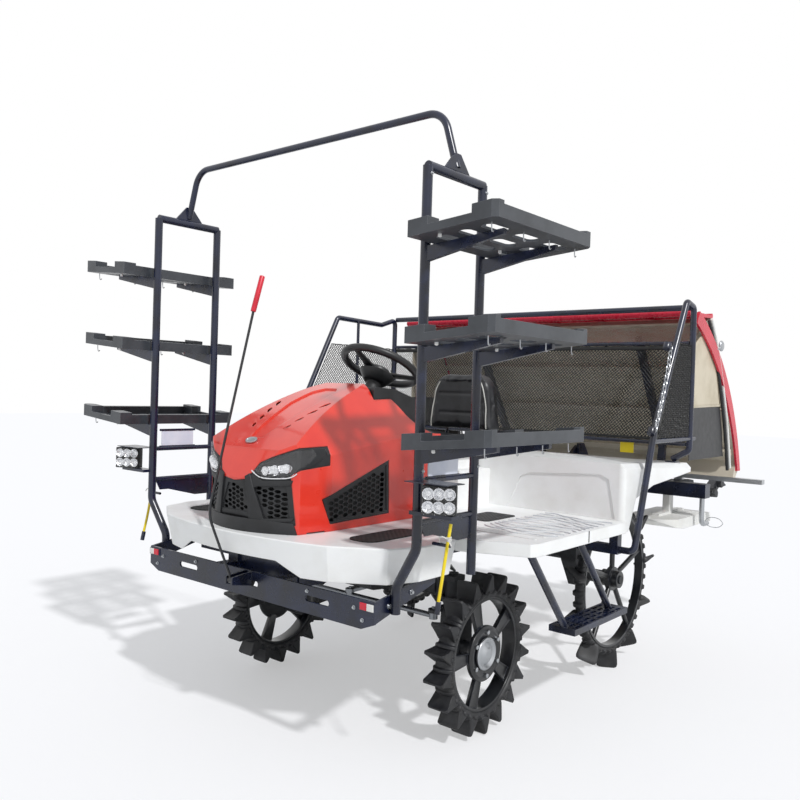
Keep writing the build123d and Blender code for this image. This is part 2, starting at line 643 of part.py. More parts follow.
# side decks: outer edge runs back from a slanted corner
side_edge = ((BONNET_HALF - 33, SIDE_DECK_FRONT + SEAT_GAP), (DECK_HALF, SIDE_DECK_FRONT + SEAT_GAP),
             (SIDE_DECK_HALF - 15, SIDE_DECK_CORNER - 10), (SIDE_DECK_HALF, SIDE_DECK_CORNER + 20),
             (SIDE_DECK_HALF, COVER_FRONT - SEAT_GAP), (SEAT_GAP / 2, COVER_FRONT - SEAT_GAP),
             (SEAT_GAP / 2, BONNET_REAR + 20), (BONNET_HALF - 33, BONNET_REAR + 20))
GRIP_X = 740.0
GRIP_PITCH = 70
GRIP_LENGTH = 320.0
GRIP_WIDTH = 14.0
GRIP_HIGH = 2.5
with BuildPart() as side_decks:
    for inset, high, mode in ((0, DECK_Z, Mode.ADD), (SHEET, DECK_Z - SHEET, Mode.SUBTRACT)):
        with BuildSketch(Plane.XY.offset(DECK_Z - SIDE_DECK_LIP)):
            for side in (-1, 1):
                Polygon(*[(side * x, fy(y)) for x, y in side_edge], align=None)
            if inset:
                offset(amount=-inset, kind=Kind.INTERSECTION)
        extrude(amount=high - (DECK_Z - SIDE_DECK_LIP), mode=mode)
    # the front step arms pass through the inner wall
    for side in (-1, 1):
        block(*sorted((side * 240, side * 262)), fy(STEP_STRUT_FRONT) - 26,
              fy(STEP_STRUT_FRONT) + 26, DECK_Z - SIDE_DECK_LIP - 1, DECK_Z - SHEET,
              mode=Mode.SUBTRACT)
    # raised ribs that give the feet grip
    with BuildSketch(Plane.XY.offset(DECK_Z)):
        with Locations(*[(side * GRIP_X, fy(place)) for side in (-1, 1)
                         for place in range(-90, 540, GRIP_PITCH)]):
            SlotOverall(GRIP_LENGTH, GRIP_WIDTH)
    extrude(amount=GRIP_HIGH)
    with BuildSketch(Plane.XY.offset(DECK_Z)):
        mat_outlines("side", 1)
    extrude(amount=-MAT_SUNK, mode=Mode.SUBTRACT)
keep(side_decks, "side_decks")

with BuildPart() as deck_mats:
    with BuildSketch(Plane.XY.offset(DECK_Z - MAT_SUNK + SEAT_GAP)):
        mat_outlines("front", 0)
        mat_outlines("side", 0)
    extrude(amount=MAT_THICK)
keep(deck_mats, "deck_mats")

# ---------------------------------------------------------------- rear cover
def cover_top(place):
    """Height of the cover's top at a place given from the front axle."""
    share = (place - COVER_FRONT) / (COVER_REAR - COVER_FRONT)
    return COVER_TOP_Z + share * (COVER_TOP_REAR_Z - COVER_TOP_Z)


COVER_PRESS = 5.0              # depth of the panel pressed into the cover's front
with BuildPart() as rear_cover:
    outline = [(fy(COVER_FRONT), DECK_Z - SIDE_DECK_LIP), (fy(COVER_FRONT), COVER_TOP_Z),
               (fy(COVER_REAR), COVER_TOP_REAR_Z), (fy(COVER_REAR), COVER_TOP_REAR_Z - 45),
               (fy(COVER_FRONT + 320), COVER_TOP_Z - 115),
               (fy(COVER_FRONT + 130), COVER_TOP_Z - 160),
               (fy(COVER_FRONT + 60), DECK_Z - SIDE_DECK_LIP)]
    side_plate(-COVER_HALF, COVER_HALF, outline)
    chamfer(rear_cover.edges().filter_by(Axis.Y, tolerance=8).sort_by(Axis.Z)[-2:], 22)
    fillet(rear_cover.edges().filter_by(Axis.Z).sort_by(Axis.Y)[:2], 26)
    hollow = [(fy(COVER_FRONT) + SHEET + COVER_PRESS, DECK_Z - SIDE_DECK_LIP - 1),
              (fy(COVER_FRONT) + SHEET + COVER_PRESS, COVER_TOP_Z - SHEET - 8),
              (fy(COVER_REAR) - SHEET, COVER_TOP_REAR_Z - SHEET - 8),
              (fy(COVER_REAR) - SHEET, DECK_Z - SIDE_DECK_LIP - 1)]
    inner_half = COVER_HALF - SHEET - 18
    side_plate(-inner_half, inner_half, hollow, mode=Mode.SUBTRACT)
    # a panel is pressed into the front face beside the seat on both sides
    with BuildSketch(Plane.XZ.offset(-fy(COVER_FRONT))) as pressing:
        for side in (-1, 1):
            Polygon(*[(side * x, z) for x, z in (
                (345, DECK_Z + 6), (412, 985), (462, 1006), (820, 1030), (862, 1010),
                (895, DECK_Z + 6))], align=None)
    extrude(pressing.sketch, amount=-COVER_PRESS, mode=Mode.SUBTRACT)
    # shallow slot across the top, for the hand
    with BuildSketch(Plane.XY.offset(COVER_TOP_Z + 5)) as hand_slot:
        with Locations((430, fy(1100)), (-430, fy(1100))):
            RectangleRounded(300, 70, 18)
    extrude(hand_slot.sketch, amount=-(COVER_TOP_Z + 5 - cover_top(1100) + 7), mode=Mode.SUBTRACT)
keep(rear_cover, "rear_cover")

# ---------------------------------------------------------------- seat
PEDESTAL_HALF = 240.0
PEDESTAL_TOP = 1010.0
pedestal_rear = fy(COVER_FRONT) - SEAT_GAP
with BuildPart() as seat_pedestal:
    side_plate(-PEDESTAL_HALF, PEDESTAL_HALF, [
        (fy(300), DECK_Z), (fy(330), PEDESTAL_TOP), (pedestal_rear, PEDESTAL_TOP),
        (pedestal_rear, DECK_Z)])
    fillet(seat_pedestal.edges().filter_by(Axis.X).sort_by(Axis.Z)[-1], 12)
    side_plate(-PEDESTAL_HALF + SHEET, PEDESTAL_HALF - SHEET, [
        (fy(304), DECK_Z - 1), (fy(334), PEDESTAL_TOP - SHEET),
        (pedestal_rear - SHEET, PEDESTAL_TOP - SHEET),
        (pedestal_rear - SHEET, DECK_Z - 1)], mode=Mode.SUBTRACT)
    # frame under the cushion
    for x in (-150, 150):
        block(x - 16, x + 16, fy(SEAT_FRONT + 40), fy(COVER_FRONT - 30), PEDESTAL_TOP, SEAT_Z)
    block(-SEAT_HALF + 30, SEAT_HALF - 30, fy(SEAT_FRONT + 30), fy(SEAT_REAR - 30),
          COVER_TOP_Z + SEAT_GAP, SEAT_Z)
keep(seat_pedestal, "seat_pedestal")

with BuildPart() as seat_cushion:
    with BuildSketch(Plane.XY.offset(SEAT_Z + 0.3)):
        with Locations((0, fy((SEAT_FRONT + SEAT_REAR) / 2))):
            RectangleRounded(2 * SEAT_HALF, SEAT_REAR - SEAT_FRONT, 60)
    extrude(amount=SEAT_THICK)
keep(seat_cushion, "seat_cushion")

with BuildPart() as seat_back:
    back_low = SEAT_Z + SEAT_THICK + 1
    side_plate(-SEAT_BACK_HALF, SEAT_BACK_HALF, [
        (fy(SEAT_REAR - 125), back_low), (fy(SEAT_REAR - 128), back_low + 60),
        (fy(SEAT_REAR - 70), SEAT_BACK_TOP_Z), (fy(SEAT_REAR), SEAT_BACK_TOP_Z),
        (fy(SEAT_REAR), back_low)])
    # the shell narrows towards a round top
    with BuildSketch(Plane.XZ.offset(-fy(SEAT_REAR) - 5)) as shell:
        Polygon((-SEAT_BACK_HALF + 20, back_low), (-SEAT_BACK_HALF, back_low + 70),
                (-SEAT_BACK_TOP_HALF, SEAT_BACK_TOP_Z), (SEAT_BACK_TOP_HALF, SEAT_BACK_TOP_Z),
                (SEAT_BACK_HALF, back_low + 70), (SEAT_BACK_HALF - 20, back_low), align=None)
        fillet(shell.vertices().sort_by(Axis.Y)[-2:], 85)
    extrude(shell.sketch, amount=200, mode=Mode.INTERSECT)
    # dished between the side bolsters
    with BuildSketch(Plane.XZ.offset(-fy(SEAT_REAR - 95))) as dish:
        Polygon((-120, back_low - 5), (-110, SEAT_BACK_TOP_Z - 75), (110, SEAT_BACK_TOP_Z - 75),
                (120, back_low - 5), align=None)
    extrude(dish.sketch, amount=60, mode=Mode.SUBTRACT)
keep(seat_back, "seat_back")

# ---------------------------------------------------------------- bonnet
def bonnet_form(inset):
    """The bonnet's outer form, moved in all round by a wall."""
    half, low = BONNET_HALF - inset, BONNET_LOW_Z - (1 if inset else 0)
    with BuildPart() as form:
        with BuildSketch(Plane.YZ.offset(-half)):
            with BuildLine():
                crown = ThreePointArc((fy(-742), 1142 - inset), (fy(-490), 1292 - inset),
                                      (fy(BONNET_PEAK), BONNET_TOP_Z - inset))
                nose = Polyline(crown @ 0, (fy(BONNET_FRONT - 15) + inset, 1030),
                                (fy(BONNET_FRONT - 8) + inset, 890),
                                (fy(BONNET_FRONT + 10) + inset, low))
                # the tail falls from the crown in a full curve and runs out in a hollow one
                fall = ThreePointArc(crown @ 1, (fy(-112) - inset, 1352 - inset),
                                     (fy(-52) - inset, 1272 - inset))
                run_out = ThreePointArc(fall @ 1, (fy(12) - inset, 1214 - inset),
                                        (fy(BONNET_REAR) - inset, 1190 - inset))
                tail = Line(run_out @ 1, (fy(BONNET_REAR) - inset, low))
                Line(nose @ 1, tail @ 1)
            make_face()
        extrude(amount=2 * half)
        with BuildSketch(Plane.XY.offset(low)):
            with BuildLine():
                front = fy(BONNET_FRONT - 16) + inset
                bow = ThreePointArc((-half + 20, front + 96), (0, front), (half - 20, front + 96))
                left = Polyline(bow @ 0, (-half, front + 240), (-half, fy(BONNET_REAR)))
                right = Polyline(bow @ 1, (half, front + 240), (half, fy(BONNET_REAR)))
                Line(left @ 1, right @ 1)
            make_face()
        extrude(amount=700, mode=Mode.INTERSECT)
        # the shoulders rise from the nose to the tail
        for y, shoulder in ((fy(BONNET_FRONT - 20), 1090), (fy(BONNET_REAR), 1215)):
            with BuildSketch(Plane.XZ.offset(-y)):
                with BuildLine():
                    Polyline((-half, low), (-half, shoulder - inset), (-118, 1412 - inset),
                             (118, 1412 - inset), (half, shoulder - inset), (half, low),
                             close=True)
                section = make_face()
                corners = section.vertices().sort_by(Axis.Y)
                fillet(corners[-2:], 110)
                fillet(corners[-4:-2], 70)
        loft(mode=Mode.INTERSECT)
    return form.part


# channel pressed along the top: half width and place
CHANNEL_EDGE = ((34.0, -690.0), (50.0, -620.0), (78.0, -440.0), (70.0, -330.0), (36.0, -286.0))
CHANNEL_DEPTH = 7.0
# vents on both sides of the channel: place of the middle, length, width
VENTS = ((95.0, -624.0, 40.0, 14.0), (108.0, -573.0, 46.0, 16.0), (124.0, -520.0, 52.0, 18.0),
         (136.0, -463.0, 58.0, 20.0))
VENT_LEAN = 30.0               # degrees that each vent turns away from the middle
HINGE_D = 12.0
HINGE_Y = -772.0
HINGE_Z = BONNET_LOW_Z + HINGE_D / 2


def channel_region(grow):
    """The channel's outline seen from above, grown by a wall."""
    near = [(x, fy(y)) for x, y in CHANNEL_EDGE]
    with BuildSketch(Plane.XY.offset(BONNET_LOW_Z)) as region:
        Polygon(*near, *[(-x, y) for x, y in reversed(near)], align=None)
        fillet(region.vertices(), 14)
        if grow:
            offset(amount=grow, kind=Kind.INTERSECTION)
    return region.sketch


def vent_region():
    """All the vents: drops whose round ends lie to the rear."""
    with BuildSketch(Plane.XY.offset(BONNET_LOW_Z + 200)) as region:
        for side in (-1, 1):
            for x, y, length, width in VENTS:
                with Locations(Location((side * x, fy(y), 0), (0, 0, 90 - side * VENT_LEAN))):
                    Polygon((-length / 2, 0), (length / 5, -width / 2), (length / 2, -width / 4),
                            (length / 2, width / 4), (length / 5, width / 2), align=None)
        fillet(region.vertices(), 3)
    return region.sketch


bonnet_outer = bonnet_form(0)
bonnet_inner = bonnet_form(BONNET_WALL)
with BuildPart() as channel_press:
    extrude(channel_region(0), amount=700)
    add(bonnet_form(CHANNEL_DEPTH), mode=Mode.SUBTRACT)
with BuildPart() as channel_lining:
    extrude(channel_region(BONNET_WALL), amount=700)
    add(bonnet_form(CHANNEL_DEPTH + BONNET_WALL), mode=Mode.SUBTRACT)
with BuildPart() as bonnet_hollow:
    add(bonnet_inner)
    add(channel_lining.part, mode=Mode.SUBTRACT)
DASH_HALF = 165.0
# half outline of the dark mask in the nose, as (x, z) from the middle
MASK_EDGE = ((0.0, 1020.0), (72.0, 1030.0), (112.0, 1092.0), (270.0, 1160.0), (300.0, 1160.0),
             (300.0, 1100.0), (232.0, 1050.0), (250.0, 868.0))


JOINT = 1.0                    # gap between two panels that meet
GRILLE_EDGE = ((-595.0, 958.0), (-223.0, 1090.0), (-212.0, 871.0), (-554.0, 862.0))


def mask_region(inset):
    """The mask's outline, seen from the front, moved in by a joint's width."""
    left = [(-x, z) for x, z in MASK_EDGE if x]
    with BuildSketch(Plane.XZ.offset(-fy(-560))) as region:
        Polygon(*MASK_EDGE, *reversed(left), align=None)
        offset(amount=-inset, kind=Kind.INTERSECTION)
    return region.sketch


def grille_region(inset):
    """A side grille's outline on the middle plane, moved in by a joint's width."""
    with BuildSketch(Plane.YZ) as region:
        Polygon(*[(fy(y), z) for y, z in GRILLE_EDGE], align=None)
        offset(amount=-inset, kind=Kind.INTERSECTION)
    return region.sketch


with BuildPart() as bonnet:
    add(bonnet_outer)
    add(channel_press.part, mode=Mode.SUBTRACT)
    add(bonnet_hollow.part, mode=Mode.SUBTRACT)
    # open below
    block(-BONNET_HALF + BONNET_WALL, BONNET_HALF - BONNET_WALL, fy(-660), fy(BONNET_REAR) + 5,
          BONNET_LOW_Z - 5, BONNET_LOW_Z + 5, mode=Mode.SUBTRACT)
    # open at the rear for the dash
    block(-DASH_HALF - CLEAR, DASH_HALF + CLEAR, fy(BONNET_PEAK), fy(BONNET_REAR) + 5,
          1100, BONNET_TOP_Z + 20, mode=Mode.SUBTRACT)
    block(-BONNET_HALF + 30, BONNET_HALF - 30, fy(BONNET_REAR) - 20, fy(BONNET_REAR) + 5,
          BONNET_LOW_Z - 5, 1150, mode=Mode.SUBTRACT)
    # window for the mask
    extrude(mask_region(0), amount=300, mode=Mode.SUBTRACT)
    # windows for the side grilles
    extrude(grille_region(0), amount=BONNET_HALF + 5, both=True, mode=Mode.SUBTRACT)
    extrude(vent_region(), amount=600, mode=Mode.SUBTRACT)
    # barrels on the hinge's axis
    for side in (-1, 1):
        bar((side * 40, fy(HINGE_Y), HINGE_Z), (side * 100, fy(HINGE_Y), HINGE_Z), HINGE_D)
keep(bonnet, "bonnet")

LAMP_EDGE = ((128, 1075), (132, 1094), (236, 1133), (236, 1098), (200, 1070))


def lamp_region(inset):
    """Both headlamps' outlines, seen from the front."""
    with BuildSketch(Plane.XZ.offset(-fy(-560))) as region:
        for side in (-1, 1):
            Polygon(*[(side * x, z) for x, z in LAMP_EDGE], align=None)
        if inset:
            offset(amount=-inset, kind=Kind.INTERSECTION)
    return region.sketch


# fields of open mesh in the mask, as (x, z), on both sides of the two spokes
MESH_MIDDLE = ((-82.0, 905.0), (82.0, 905.0), (40.0, 1008.0), (-40.0, 1008.0))
MESH_OUTER = ((140.0, 884.0), (232.0, 884.0), (218.0, 1012.0), (92.0, 1006.0))
MESH_SINK = 5.0                # the mesh lies deeper than the mask's face
CELL_W, CELL_H, CELL_WALL = 25.0, 13.0, 4.5

with BuildSketch(Plane.XZ.offset(-fy(-560))) as mesh_fields:
    Polygon(*MESH_MIDDLE, align=None)
    for side in (-1, 1):
        Polygon(*[(side * x, z) for x, z in MESH_OUTER], align=None)

with BuildSketch(Plane.XZ.offset(-fy(-560))) as mesh_cells:
    honeycomb(list(MESH_MIDDLE), CELL_W, CELL_H, CELL_WALL)
    honeycomb(list(MESH_OUTER), CELL_W, CELL_H, CELL_WALL)
    honeycomb([(-x, z) for x, z in reversed(MESH_OUTER)], CELL_W, CELL_H, CELL_WALL)

with BuildPart() as mesh_sink:
    extrude(mesh_fields.sketch, amount=300)
    add(bonnet_form(1.5 + MESH_SINK), mode=Mode.SUBTRACT)

with BuildPart() as front_mask:
    add(bonnet_form(1.5))
    add(bonnet_form(11), mode=Mode.SUBTRACT)
    extrude(mask_region(JOINT), amount=300, mode=Mode.INTERSECT)
    extrude(lamp_region(0), amount=300, mode=Mode.SUBTRACT)
    add(mesh_sink.part, mode=Mode.SUBTRACT)
    extrude(mesh_cells.sketch, amount=300, mode=Mode.SUBTRACT)
keep(front_mask, "front_mask")

GRILLE_RIM = 14.0
with BuildSketch(Plane.YZ) as grille_cells:
    honeycomb([(fy(-572), 868), (fy(-226), 880), (fy(-238), 1068), (fy(-572), 952)],
              CELL_W + 4, CELL_H + 3, CELL_WALL)

with BuildPart() as side_grilles:
    extrude(grille_region(JOINT), amount=BONNET_HALF - 1, both=True)
    extrude(grille_region(0), amount=BONNET_HALF - 9, both=True, mode=Mode.SUBTRACT)
    # the mesh lies deeper than the rim round it
    for side in (-1, 1):
        with BuildSketch(Plane.YZ.offset(side * BONNET_HALF)) as field:
            Polygon(*[(fy(y), z) for y, z in GRILLE_EDGE], align=None)
            offset(amount=-GRILLE_RIM, kind=Kind.INTERSECTION)
        extrude(field.sketch, amount=-side * 5, mode=Mode.SUBTRACT)
    extrude(grille_cells.sketch, amount=BONNET_HALF, both=True, mode=Mode.SUBTRACT)
keep(side_grilles, "side_grilles")

with BuildPart() as headlamps:
    add(bonnet_form(4))
    add(bonnet_form(24), mode=Mode.SUBTRACT)
    extrude(lamp_region(JOINT), amount=300, mode=Mode.INTERSECT)
keep(headlamps, "headlamps")

# ---------------------------------------------------------------- dash and steering wheel
with BuildPart() as dash_panel:
    side_plate(-DASH_HALF, DASH_HALF, [
        (fy(BONNET_PEAK) + CLEAR, 1120), (fy(BONNET_PEAK) + CLEAR, BONNET_TOP_Z - 12),
        (fy(-60), BONNET_TOP_Z - 20), (fy(150), 1320), (fy(165), 1290), (fy(90), 1120)])
    fillet(dash_panel.edges().filter_by(Axis.X).sort_by(Axis.Z)[-3:], 16)
    block(-DASH_HALF + 40, DASH_HALF - 40, fy(-80), fy(90), GEARBOX_TOP, 1120)
keep(dash_panel, "dash_panel")

wheel_hub = Plane(origin=(0, fy(WHEEL_CENTRE_Y), WHEEL_CENTRE_Z), x_dir=(1, 0, 0),
                  z_dir=(0, sin(radians(COLUMN_LEAN)), cos(radians(COLUMN_LEAN))))
COLUMN_TOP = 32.3              # below the rim's plane
with BuildPart() as steering_column:
    with BuildSketch(wheel_hub.offset(-COLUMN_TOP)):
        Circle(34)
    extrude(amount=-150)
    # cut away where the dash stands
    add(dash_panel.part, mode=Mode.SUBTRACT)
keep(steering_column, "steering_column")

GRIP_SIDES = 14                # the grip's section is a polygon
with BuildPart(wheel_hub) as steering_wheel:
    with BuildSketch(Plane(origin=wheel_hub.origin, x_dir=wheel_hub.x_dir,
                           z_dir=-wheel_hub.y_dir)) as grip:
        with Locations((WHEEL_RIM_D / 2 - WHEEL_GRIP_D / 2, 0)):
            RegularPolygon(WHEEL_GRIP_D / 2, GRIP_SIDES)
    revolve(grip.sketch, Axis(wheel_hub.origin, wheel_hub.z_dir))
    with Locations((0, 0, -18)):
        Cylinder(40, 28)
    spoke = WHEEL_RIM_D / 2 - WHEEL_GRIP_D
    with PolarLocations(spoke / 2 + 12, 3, start_angle=90):
        with Locations((0, 0, -8)):
            Box(spoke - 14, 32, 9)
keep(steering_wheel, "steering_wheel")

# ---------------------------------------------------------------- tray racks
SHELF_ARM = 18.0
ARM_DEEPER = 34.0
GUARD_ZS = (940.0, 1078.0)     # short tubes between the posts, beside the work lamp
GUARD_D = 20.0
LAMP_X = 868.0                 # middle of a work lamp
LAMP_WIDE = 144.0
LAMP_DEEP = 62.0
LAMP_HIGH = 96.0
LAMP_LOW_Z = 985.0
LAMP_BRACKET = 12.0


def shelf_z(x, z_inner):
    """Height of a shelf's underside at a distance from the middle: it rises outwards."""
    return z_inner + SHELF_RISE * (x - SHELF_IN) / (SHELF_OUT - SHELF_IN)


for side, name in ((1, "left"), (-1, "right")):
    x, radius = side * RACK_X, RACK_TUBE_D / 2
    with BuildPart() as rack:
        # front post bends in below the deck to the bumper's end
        foot_x = side * (BUMPER_HALF + radius + 0.3)
        run_tube([(foot_x, fy(RACK_FRONT + 16), BUMPER_LOW_Z + 50),
                  (foot_x, fy(RACK_FRONT + 16), LIP_LOW_Z),
                  (x, fy(RACK_FRONT), RACK_FOOT_Z - 50), (x, fy(RACK_FRONT), RACK_TOP_Z)],
                 60, RACK_TUBE_D)
        bar((x, fy(RACK_REAR), RAIL_TOP_Z + 20), (x, fy(RACK_REAR), RACK_TOP_Z), RACK_TUBE_D)
        bar((x, fy(RACK_FRONT), RACK_TOP_Z), (x, fy(RACK_REAR), RACK_TOP_Z), RACK_TUBE_D)
        for z in GUARD_ZS:
            bar((x, fy(RACK_FRONT), z), (x, fy(RACK_REAR), z), GUARD_D)
        # arms deepen towards the posts
        for z_inner in SHELF_ZS:
            for y in (RACK_FRONT, RACK_REAR):
                z = z_inner - SHELF_ARM
                reach = SHELF_OUT - 60
                across_plate(fy(y) - SHELF_ARM / 2, fy(y) + SHELF_ARM / 2, [
                    (x, shelf_z(RACK_X, z) - ARM_DEEPER), (side * reach, shelf_z(reach, z)),
                    (side * reach, shelf_z(reach, z) + SHELF_ARM),
                    (x, shelf_z(RACK_X, z) + SHELF_ARM)])
        # side plate between the guard tubes and the lamp's bracket at the front post
        side_plate(*sorted((x + side * 2, x - side * 2)), [
            (fy(RACK_REAR), GUARD_ZS[0]), (fy(RACK_REAR), DECK_Z + 20),
            (fy(RACK_REAR - 90), DECK_Z + 20), (fy(RACK_FRONT + 85), 890),
            (fy(RACK_FRONT + 40), 890), (fy(RACK_FRONT + 14), GUARD_ZS[0])])
        lamp_x0, lamp_x1 = sorted((x, side * (LAMP_X + LAMP_WIDE / 2)))
        block(lamp_x0, lamp_x1, fy(RACK_FRONT) - 46, fy(RACK_FRONT) + 10,
              LAMP_LOW_Z - LAMP_BRACKET - SEAT_GAP, LAMP_LOW_Z - SEAT_GAP)
        block(lamp_x0, lamp_x1, fy(RACK_FRONT) - LAMP_DEEP - 12, fy(RACK_FRONT) + 20,
              LAMP_LOW_Z + LAMP_HIGH + SEAT_GAP, LAMP_LOW_Z + LAMP_HIGH + SEAT_GAP + 3)
    keep(rack, f"rack_{name}")

    with BuildPart() as shelves:
        y0, y1 = fy(SHELF_FRONT), fy(SHELF_REAR)
        for z_inner in SHELF_ZS:
            # floor, beams, end lips and corner blocks: inner and outer x, front, rear, height
            pieces = [(SHELF_IN, SHELF_OUT, y0, y1, SHELF_FLOOR),
                      (SHELF_IN, SHELF_IN + 18, y0, y1, SHELF_BEAM),
                      (SHELF_OUT - 24, SHELF_OUT, y0, y1, SHELF_BEAM),
                      (SHELF_IN, SHELF_OUT, y0, y0 + 14, SHELF_THICK),
                      (SHELF_IN, SHELF_OUT, y1 - 14, y1, SHELF_THICK)]
            for near, far in ((y0, y0 + 58), (y1 - 58, y1)):
                pieces += [(SHELF_IN, SHELF_IN + 78, near, far, SHELF_BLOCK),
                           (SHELF_OUT - 86, SHELF_OUT, near, far, SHELF_BLOCK)]
            for x0, x1, near, far, height in pieces:
                across_plate(near, far, [
                    (side * x0, shelf_z(x0, z_inner)), (side * x1, shelf_z(x1, z_inner)),
                    (side * x1, shelf_z(x1, z_inner) + height),
                    (side * x0, shelf_z(x0, z_inner) + height)])
        # the outer corners are cut off
        chamfer(shelves.edges().filter_by(Axis.Z).group_by(Axis.X)[-1 if side > 0 else 0], 16)
        # slots through the floors
        with BuildSketch(Plane.XY.offset(SHELF_ZS[0] - 20)) as slots:
            with Locations((side * (SHELF_IN + SHELF_OUT) / 2, (y0 + y1) / 2)):
                with GridLocations(84, 178, 3, 3):
                    SlotOverall(126, 46, rotation=90)
        extrude(slots.sketch, amount=SHELF_ZS[-1] - SHELF_ZS[0] + 100, mode=Mode.SUBTRACT)
    keep(shelves, f"shelves_{name}")

with BuildPart() as work_lamps:
    face_y = fy(RACK_FRONT) - LAMP_DEEP - 8
    for side in (-1, 1):
        x0, x1 = side * LAMP_X - LAMP_WIDE / 2, side * LAMP_X + LAMP_WIDE / 2
        z0, z1 = LAMP_LOW_Z, LAMP_LOW_Z + LAMP_HIGH
        block(x0, x1, face_y, face_y + LAMP_DEEP, z0, z1)
        # four square reflectors are sunk in the face
        with BuildSketch(Plane.XZ.offset(-face_y)) as reflectors:
            with Locations((side * LAMP_X, (z0 + z1) / 2)):
                with GridLocations(44, 42, 3, 2):
                    RectangleRounded(38, 36, 5)
        extrude(reflectors.sketch, amount=-16, taper=24, mode=Mode.SUBTRACT)
keep(work_lamps, "work_lamps")

SIGHT_D = 9.0
SIGHT_X = 850.0
SIGHT_TOP = (-576.0, 940.0)
SIGHT_FOOT = (-628.0, 655.0)
with BuildPart() as sight_rods:
    for side in (-1, 1):
        bar((side * SIGHT_X, fy(SIGHT_TOP[0]), SIGHT_TOP[1]),
            (side * SIGHT_X, fy(SIGHT_FOOT[0]), SIGHT_FOOT[1]), SIGHT_D)
        # clip that holds the rod to the side plate
        x0, x1 = sorted((side * (RACK_X + 2 + SEAT_GAP), side * (SIGHT_X + 8)))
        block(x0, x1, fy(SIGHT_TOP[0]) - 14, fy(SIGHT_TOP[0]) + 10, 902, 916)
keep(sight_rods, "sight_rods")

with BuildPart() as top_hoop:
    y = fy((RACK_FRONT + RACK_REAR) / 2)
    foot_z = RACK_TOP_Z + RACK_TUBE_D / 2
    run_tube([(-RACK_X, y, foot_z + 10), (-HOOP_HALF - 20, y, HOOP_TOP_Z),
              (HOOP_HALF + 20, y, HOOP_TOP_Z), (RACK_X, y, foot_z + 10)], 90, HOOP_TUBE_D)
    for side in (-1, 1):
        side_plate(*sorted((side * (RACK_X + 5), side * (RACK_X - 3))), [
            (y - 70, foot_z), (y - 16, foot_z + 60), (y + 16, foot_z + 60), (y + 70, foot_z)])
keep(top_hoop, "top_hoop")

# ---------------------------------------------------------------- rear handrails and net
tube = RAIL_TUBE_D / 2
NET_TUBE_D = 20.0
GRAB_D = 22.0
FOOT_TOP_Z = cover_top(NET_Y) + 9
# each rail runs from the frame up, back over the top and down to the cover: (y, z)
RAIL_ROUTES = {
    "left": ((820.0, 1235.0), (1165.0, HANDRAIL_TOP_Z + 20), (NET_Y, HANDRAIL_TOP_Z)),
    "right": ((447.0, 1250.0), (732.0, 1800.0), (1130.0, 1788.0), (NET_Y, HANDRAIL_TOP_Z)),
}
with BuildPart() as rear_handrails:
    for side, name in ((1, "left"), (-1, "right")):
        x = side * HANDRAIL_X
        foot = HANDRAIL_FOOT if side > 0 else HANDRAIL_FOOT_RIGHT
        run_tube([(side * (OUTRIGGER + SEAT_GAP), fy(foot), RAIL_TOP_Z),
                  (x, fy(foot), RAIL_TOP_Z),
                  *[(x, fy(y), z) for y, z in RAIL_ROUTES[name]],
                  (x, fy(NET_Y), NET_LOW_Z - 45), (side * 885, fy(NET_Y), FOOT_TOP_Z + 8)],
                 26, RAIL_TUBE_D)
        block(side * 885 - 26, side * 885 + 26, fy(NET_Y) - 26, fy(NET_Y) + 26,
              cover_top(NET_Y) + 1.6, FOOT_TOP_Z)
        grab_front = 805.0 if side > 0 else 432.0
        bar((x, fy(grab_front), NET_LOW_Z + 14), (x, fy(NET_Y + 60), NET_LOW_Z + 14), GRAB_D)
    bar((-HANDRAIL_X + 12.4, fy(HANDRAIL_POST), NET_LOW_Z + 14),
        (-HANDRAIL_X + 12.4, fy(HANDRAIL_POST), 1795), 18)
    reach = HANDRAIL_X - tube - SEAT_GAP
    for z, size in ((HANDRAIL_TOP_Z, RAIL_TUBE_D), (NET_HIGH_Z + 14, NET_TUBE_D),
                    (NET_LOW_Z - 14, NET_TUBE_D)):
        bar((-reach, fy(NET_Y), z), (reach, fy(NET_Y), z), size)
keep(rear_handrails, "rear_handrails")

NET_CORNERS = {
    "left": ((850.0, NET_LOW_Z + 26), (1030.0, 1560.0), (1080.0, NET_HIGH_Z)),
    "right": ((458.0, NET_LOW_Z + 26), (480.0, 1254.0), (682.0, NET_HIGH_Z)),
}
with BuildPart() as safety_nets:
    reach = HANDRAIL_X - tube - 2
    block(-reach, reach, fy(NET_Y) - NET_THICK / 2, fy(NET_Y) + NET_THICK / 2,
          NET_LOW_Z - 4 + SEAT_GAP, NET_HIGH_Z + 4 - SEAT_GAP)
    for side, name in ((1, "left"), (-1, "right")):
        x0, x1 = sorted((side * (HANDRAIL_X - 3), side * (HANDRAIL_X + 3)))
        side_plate(x0, x1, [*[(fy(y), z) for y, z in NET_CORNERS[name]],
                            (fy(NET_Y) - tube - SEAT_GAP, NET_HIGH_Z),
                            (fy(NET_Y) - tube - SEAT_GAP, NET_LOW_Z + 26)])
keep(safety_nets, "safety_nets")

